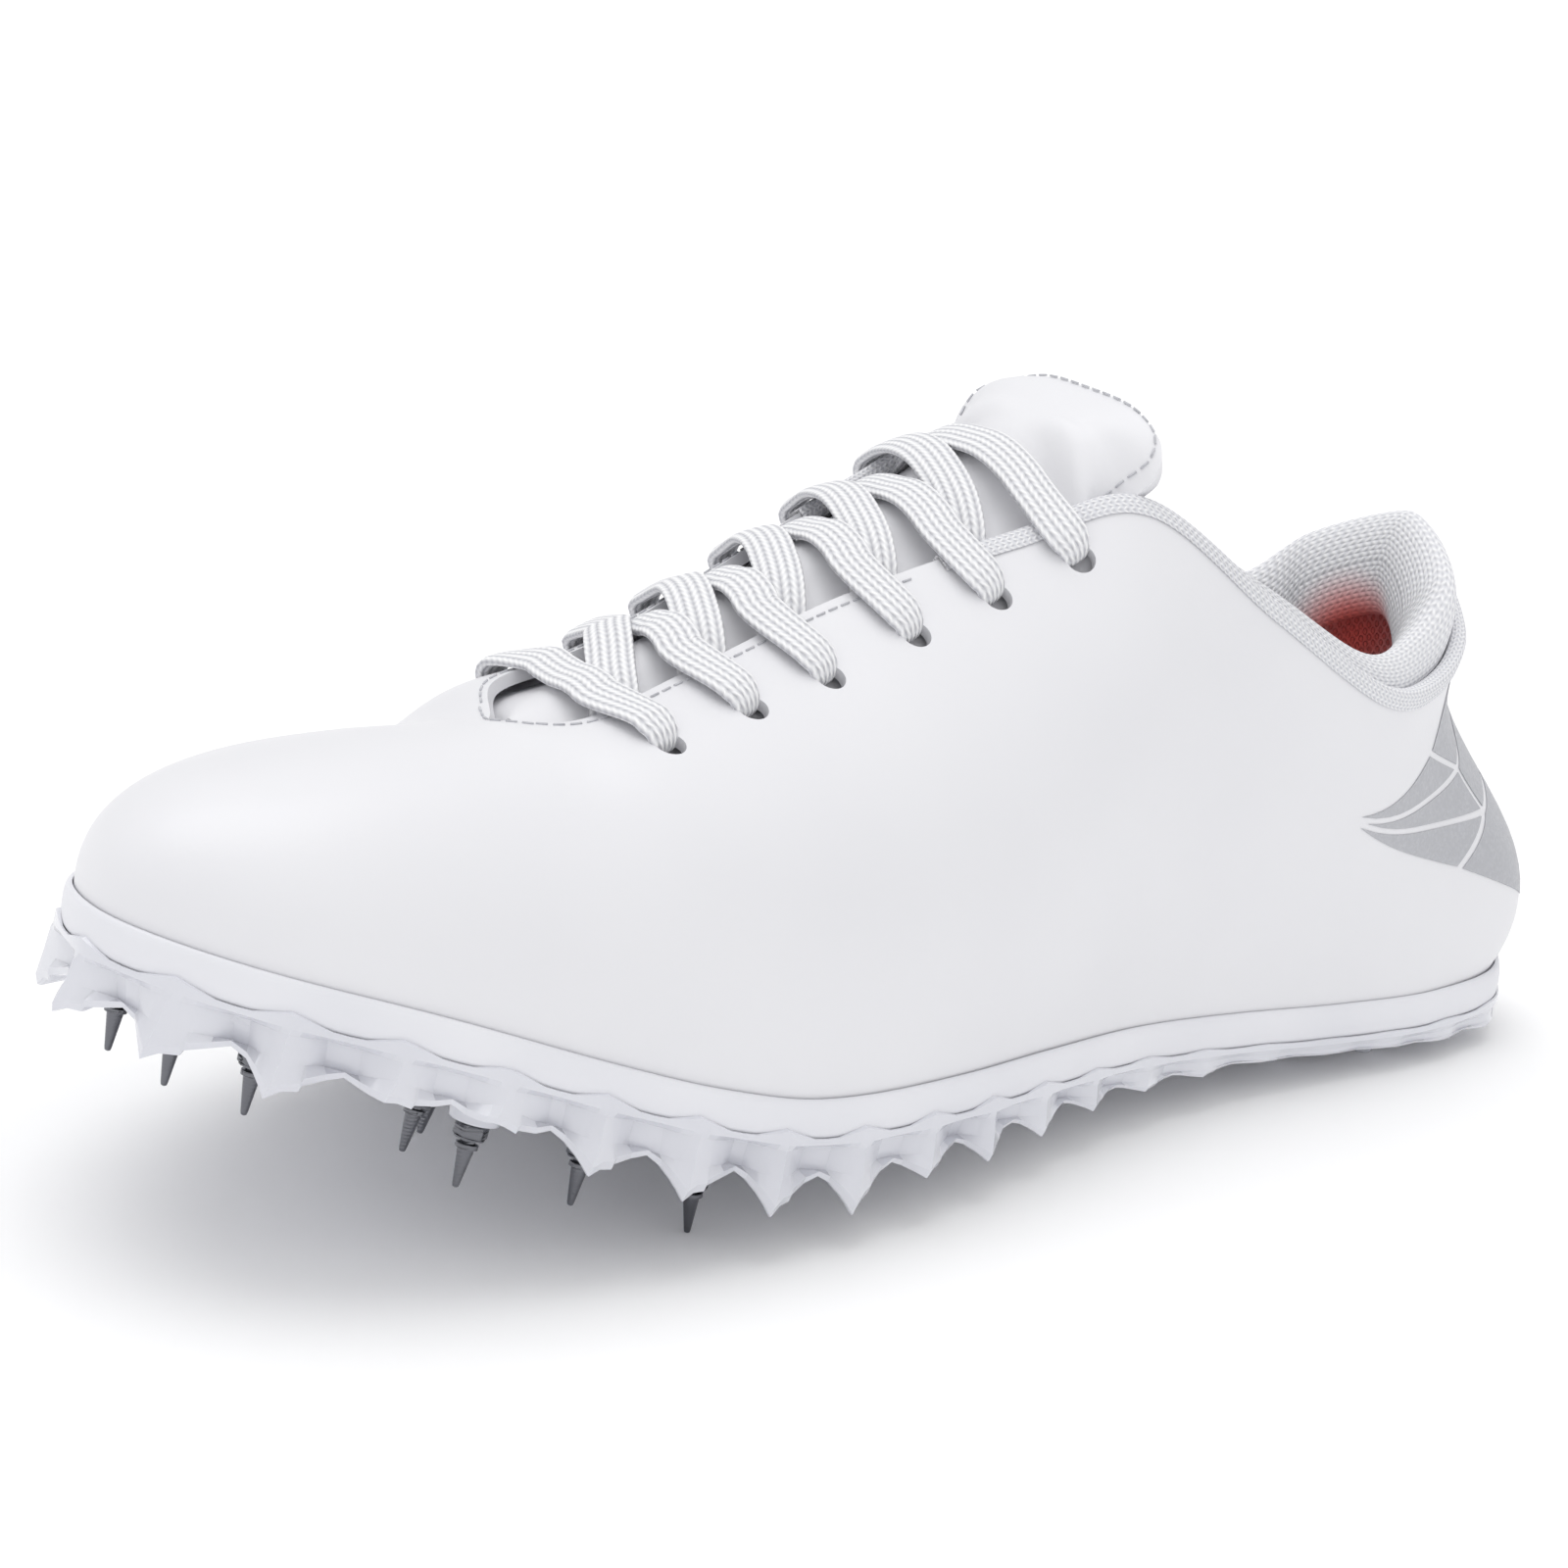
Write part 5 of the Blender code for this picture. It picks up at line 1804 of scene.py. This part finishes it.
@dataclass
class Outsole:
    """Moulded plate: slanting teeth round its edge, pyramids inside them, seats and lugs."""

    outline_steps: int = 400
    teeth: int = 42
    phases: tuple = (0.0, 0.15, 0.29, 0.31, 0.41, 0.50, 0.59, 0.69, 0.71, 0.85)
    tooth: float = 8 * MM
    fin_width: float = 1.35
    slant: float = 0.2
    least_drop: float = 1.7
    full_reach: float = 5.0
    jags: tuple = (0.44, 0.56, 0.70, 0.72, 0.85, 1.00, 0.84, 0.80, 0.70, 0.56)
    depths: tuple = (1.0, 0.55, 1.2, 0.8, 0.65)
    sizes: tuple = (1.0, 1.1, 1.05, 0.6, 0.5, 0.95, 1.0, 1.05, 1.1, 0.8, 1.0, 1.05, 0.95, 0.8, 0.9, 0.7,
                    0.6, 0.5, 0.6, 0.7, 0.5, 0.5)
    reach: tuple = ((0.00, 0.10), (0.06, 0.26), (0.12, 0.20), (0.18, 0.10), (0.28, 0.12), (0.36, 0.34),
                    (0.44, 0.42), (0.52, 0.62), (0.60, 0.86), (0.66, 1.00), (0.90, 1.00), (1.00, 0.90))
    plate_ends: float = 0.004
    plate_inset: float = 2.0 * MM
    cone_turns: tuple = (45, 75, 105, 135)
    cone_tip: float = 0.08
    cone_stretch: float = 1.15
    cone_root: float = 0.2 * MM
    middle_room: float = 3.5 * MM
    arch_end: float = 0.34
    pin_room: float = 8.2 * MM
    seat_radii: tuple = (3.4 * MM, 4.6 * MM)
    lug_radii: tuple = (2.0 * MM, 5.0 * MM)
    soft_rim: float = 0.3 * MM
    rows_inside: tuple = ((12.5 * MM, 0.62, 4.6), (20.5 * MM, 0.50, 4.4), (29.0 * MM, 0.42, 4.2))
    lugs: tuple = ((0.055, 0.0), (0.080, -0.150), (0.080, 0.150), (0.145, -0.180), (0.145, 0.180),
                   (0.215, -0.150), (0.215, 0.170))

    def __post_init__(self) -> None:
        """Measure the outline, so that teeth stand evenly along it."""
        self.marks = []
        for start, step in ((0, 1), (RIB_COUNT, -1)):
            samples = [start + step * HEEL_RIB * k / self.outline_steps
                       for k in range(self.outline_steps + 1)]
            points = [LAST.edge_frame(place)[0] for place in samples]
            lengths = [0.0]
            for a, b in zip(points, points[1:]):
                lengths.append(lengths[-1] + (b - a).length)
            self.marks.append((np.array(lengths) / lengths[-1], np.array(samples, float)))

    def place(self, share: float) -> float:
        """Place round the sole for a share of the outline's length from the toe tip.

        Args:
            share: share of the whole length, along the inner side first.

        Returns:
            The place, counted in ribs.
        """
        share = share % 1.0
        lengths, samples = self.marks[0 if share <= 0.5 else 1]
        side = 2 * share if share <= 0.5 else 2 * (1 - share)
        return float(np.interp(side, lengths, samples))

    def hang(self, x: float) -> float:
        """How far a tooth reaches at an x of the last."""
        return table_value(self.reach, LAST.along_of(x), 1) * self.tooth

    def build(self) -> None:
        """Make the plate and everything under it."""
        parts = [self.edge_teeth(), self.plate()]
        parts += self.pyramids() + self.seats() + self.blunt_lugs()
        item = join(parts, "outsole_plate")
        settle(item, PLATE_PLASTIC, 18, "plate", "outsole")

    def edge_section(self, index: int) -> list[tuple[float, float, float]]:
        """Section of the ring of teeth at one step round the sole.

        Args:
            index: number of the step.

        Returns:
            Inset and drop in millimetres, and lean in teeth, of each point of the section.
        """
        tooth, step = divmod(index % (self.teeth * len(self.phases)), len(self.phases))
        phase = self.phases[step]
        ridge = max(1 - abs(2 * phase - 1) * self.fin_width, 0)
        point = LAST.edge_frame(self.place((tooth + phase - 0.5) / self.teeth))[0]
        size = self.sizes[min(tooth, self.teeth - tooth)]
        reach = self.hang(point.x) / MM * (size * ridge + 1 - ridge)
        full = min(reach / self.full_reach, 1)
        keel = ridge * full
        valley = (1 - ridge) * full * self.depths[tooth % len(self.depths)]
        tip = self.least_drop + reach * self.jags[step]
        return [(row.inset + row.keel_in * keel + row.valley_in * valley,
                 row.drop + row.keel_down * keel + row.tip_down * tip + row.reach_down * reach,
                 -row.lean * self.slant * keel) for row in TOOTH_SECTION]

    def edge_teeth(self) -> bpy.types.Object:
        """Ring of teeth with a ridge down each one and a hollow between two.

        Returns:
            The ring.
        """
        columns = self.teeth * len(self.phases)
        sections = [self.edge_section(k) for k in range(columns + 1)]
        count = len(TOOTH_SECTION)

        def point(a: float, b: float) -> Vector:
            """Point of the ring for a share of the outline and a share of the section.

            Args:
                a: share of the outline.
                b: share of the section.

            Returns:
                The point.
            """
            index = round(a * columns)
            inset, drop, lean = sections[index][round(b * count) % count]
            tooth, step = divmod(index, len(self.phases))
            share = (tooth + self.phases[step] - 0.5 + lean) / self.teeth
            return LAST.edge_point(self.place(share), inset * MM, -drop * MM) + LAST.shift

        item = shaped_grid("edge_teeth", columns, count, point)
        weld(item)
        face_outwards(item)
        return item

    def across(self, share: float, part: float, inset: float) -> Vector:
        """Point of the underside between two facing places of the outline.

        Args:
            share: share of the way from the toe tip to the heel.
            part: 0 on the inner side, 1 on the outer side.
            inset: distance from the outline, in metres.

        Returns:
            The point at the height of the midsole's underside.
        """
        near = LAST.edge_point(self.place(share / 2), inset, 0)
        far = LAST.edge_point(self.place(1 - share / 2), inset, 0)
        point = near.lerp(far, part)
        point.z = LAST.lift(point.x)
        return point

    def plate(self) -> bpy.types.Object:
        """Thin plate between the two rows of edge teeth.

        Returns:
            The plate.
        """
        def point(a: float, b: float) -> Vector:
            """Point of the plate's upper face for two shares.

            Args:
                a: share of the way from the toe to the heel.
                b: share of the way across.

            Returns:
                The point.
            """
            spot = self.across(self.plate_ends + (1 - 2 * self.plate_ends) * a, b, self.plate_inset)
            spot.z -= CLEARANCE
            return spot + LAST.shift

        item = shaped_grid("plate", 90, 12, point)
        apply_modifier(item, "SOLIDIFY", thickness=PLATE_THICKNESS, offset=-1)
        return item

    def pyramids(self) -> list[bpy.types.Object]:
        """Rows of four-sided teeth inside the edge teeth, smaller towards the middle.

        Returns:
            The teeth.
        """
        deselect_all()
        bpy.ops.mesh.primitive_cone_add(vertices=4, radius1=1.0, radius2=self.cone_tip, depth=1.0,
                                        rotation=(math.radians(180), 0, 0))
        model = named_primitive("pyramid")
        bpy.ops.object.transform_apply(location=False, rotation=True, scale=False)
        edit(model, Select.EDGES)
        bpy.ops.mesh.subdivide(number_cuts=1)
        leave_edit()
        copies = []
        for row, (inset, tall, radius) in enumerate(self.rows_inside):
            for side in (0, 1):
                for k in range(2 + row, self.teeth // 2 - 1 - row):
                    share = (k + 0.5 * (row % 2)) / (self.teeth / 2)
                    start = share / 2 if side == 0 else 1 - share / 2
                    spot = LAST.edge_point(self.place(start), inset, 0)
                    height = self.hang(spot.x) * tall + 2 * self.cone_root
                    if abs(spot.y) < self.middle_room or LAST.along_of(spot.x) < self.arch_end:
                        continue
                    if any((Vector((LENGTH * (0.5 - pin.along), BALL_WIDTH * pin.across))
                            - spot.xy).length < self.pin_room for pin in PINS):
                        continue
                    spot.z = LAST.lift(spot.x) - CLEARANCE - PLATE_THICKNESS - height / 2 + self.cone_root
                    turn = Matrix.Rotation(math.radians(self.cone_turns[(k * 7 + row * 3) % 4]), 4, "Z")
                    size = Matrix.Diagonal((radius * MM, radius * MM * self.cone_stretch, height, 1))
                    place = Matrix.Translation(spot + LAST.shift) @ turn @ size
                    copies.append(copy_of(model, "pyramid_copy", place))
        bpy.data.objects.remove(model)
        return copies

    def seats(self) -> list[bpy.types.Object]:
        """Round seats that the pins screw into.

        Returns:
            The seats.
        """
        made = []
        for pin in PINS:
            place, plate = LAST.pin_frame(pin)
            bottom = PIN_LENGTH + HEX_HEIGHT + CLEARANCE
            made.append(self.stub("seat_" + pin.name, 20, place, (bottom, plate + PLATE_THICKNESS / 2),
                                  self.seat_radii))
        return made

    def blunt_lugs(self) -> list[bpy.types.Object]:
        """Six-sided lugs whose flat ends stand on the floor.

        Returns:
            The lugs.
        """
        made = []
        for number, (along, across) in enumerate(self.lugs):
            x, y = LENGTH * (0.5 - along), BALL_WIDTH * across
            top = LAST.lift(x) - CLEARANCE - PLATE_THICKNESS / 2
            place = Matrix.Translation(Vector((x, y, 0)) + LAST.shift)
            made.append(self.stub(f"lug_{number}", 6, place, (0.0, top), self.lug_radii))
        return made

    def stub(self, name: str, sides: int, place: Matrix, ends: tuple[float, float],
             radii: tuple[float, float]) -> bpy.types.Object:
        """Stub between two heights with a soft lower rim.

        Args:
            name: name of the stub.
            sides: number of its sides.
            place: frame whose Z axis the stub stands on.
            ends: heights of its lower and upper end in that frame.
            radii: lower and upper radius.

        Returns:
            The stub.
        """
        deselect_all()
        bpy.ops.mesh.primitive_cone_add(vertices=sides, radius1=radii[0], radius2=radii[1],
                                        depth=ends[1] - ends[0])
        item = named_primitive(name)
        item.data.transform(place @ Matrix.Translation((0, 0, sum(ends) / 2)))
        apply_modifier(item, "BEVEL", width=self.soft_rim, segments=2, limit_method="ANGLE")
        return item


@dataclass
class Studio:
    """Pale floor, soft lights and the camera of the photograph."""

    floor_size: float = 30.0
    floor_cuts: int = 3
    turn: float = 41.8
    height: float = 15.5
    roll: float = 7.2
    distance: float = 600 * MM
    aim: tuple = (-2.5 * MM, 0.0, 50 * MM)
    slide: tuple = (-11.9 * MM, -0.8 * MM)
    lens: float = 93.69
    sensor: float = 36.0
    near_clip: float = 10 * MM
    room_light: float = 0.90
    horizon_light: float = 0.72
    sky_top: float = 0.9
    lamps: tuple = (("top_lamp", (-0.10, 0.20, 1.0), 50.0, 0.85),
                    ("side_lamp", (-0.3, -1.0, 0.8), 60.0, 0.15))

    def build(self) -> None:
        """Set up the floor, the lights and the camera."""
        self.floor()
        self.lights()
        self.camera()

    def floor(self) -> None:
        """Lay the floor."""
        deselect_all()
        bpy.ops.mesh.primitive_plane_add(size=self.floor_size)
        item = named_primitive("studio_floor")
        edit(item)
        bpy.ops.mesh.subdivide(number_cuts=self.floor_cuts)
        leave_edit()
        dress(item, STUDIO_PAINT)

    def lights(self) -> None:
        """Light the shoe from above with wide soft lamps in a bright room."""
        for name, place, angle, power in self.lamps:
            light = bpy.data.lights.new(name, "SUN")
            light.angle = math.radians(angle)
            light.energy = power
            item = bpy.data.objects.new(name, light)
            item.rotation_euler = (-Vector(place)).to_track_quat("-Z", "Y").to_euler()
            bpy.context.scene.collection.objects.link(item)
        world = bpy.data.worlds.new("studio_room")
        world.use_nodes = True
        tree = world.node_tree
        tree.nodes["Background"].inputs["Color"].default_value = (1, 1, 1, 1)
        away = add_node(tree, "TexCoord")
        parts = add_node(tree, "SeparateXYZ", {0: away.outputs["Generated"]})
        sky = add_node(tree, "MapRange", {"Value": parts.outputs["Z"], "From Max": self.sky_top,
                                          "To Min": self.horizon_light, "To Max": self.room_light})
        tree.links.new(sky.outputs["Result"], tree.nodes["Background"].inputs["Strength"])
        bpy.context.scene.world = world
        bpy.context.scene.view_settings.view_transform = "Standard"

    def camera(self) -> None:
        """Place the camera at the photograph's angle, with its roll."""
        turn, height, roll = (math.radians(angle) for angle in (self.turn, self.height, self.roll))
        toward = Vector((-math.sin(turn), -math.cos(turn), 0))
        level = Vector((math.cos(turn), -math.sin(turn), 0))
        up = Vector((0, 0, 1))
        back = toward * math.cos(height) + up * math.sin(height)
        upright = up * math.cos(height) - toward * math.sin(height)
        right = level * math.cos(roll) + upright * math.sin(roll)
        above = upright * math.cos(roll) - level * math.sin(roll)
        place = Vector(self.aim) + back * self.distance + right * self.slide[0] + above * self.slide[1]
        data = bpy.data.cameras.new("photo_camera")
        data.lens = self.lens
        data.sensor_width = self.sensor
        data.clip_start = self.near_clip
        item = bpy.data.objects.new("photo_camera", data)
        bpy.context.scene.collection.objects.link(item)
        turned = Matrix((right, above, back)).transposed().to_4x4()
        item.matrix_world = Matrix.Translation(place + LAST.shift) @ turned
        bpy.context.scene.camera = item


def dress_solids() -> None:
    """Give the solids that stay showing their finishes."""
    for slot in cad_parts["insole"].material_slots:
        slot.material = SOCK_CLOTH.build()


def write_sizes() -> None:
    """Bring the view layer up to date."""
    bpy.context.view_layer.update()


def main() -> None:
    """Build the shoe piece by piece and light it."""
    Studio().build()
    Upper().build()
    Band().build()
    CollarRoll().build()
    Lining().build()
    Tape().build()
    tongue = Tongue()
    tongue.build()
    Lace().build()
    Stitching().build(tongue)
    HeelPrint().build()
    Outsole().build()
    Pins().build()
    dress_solids()
    write_sizes()


if __name__ == "__main__":
    main()
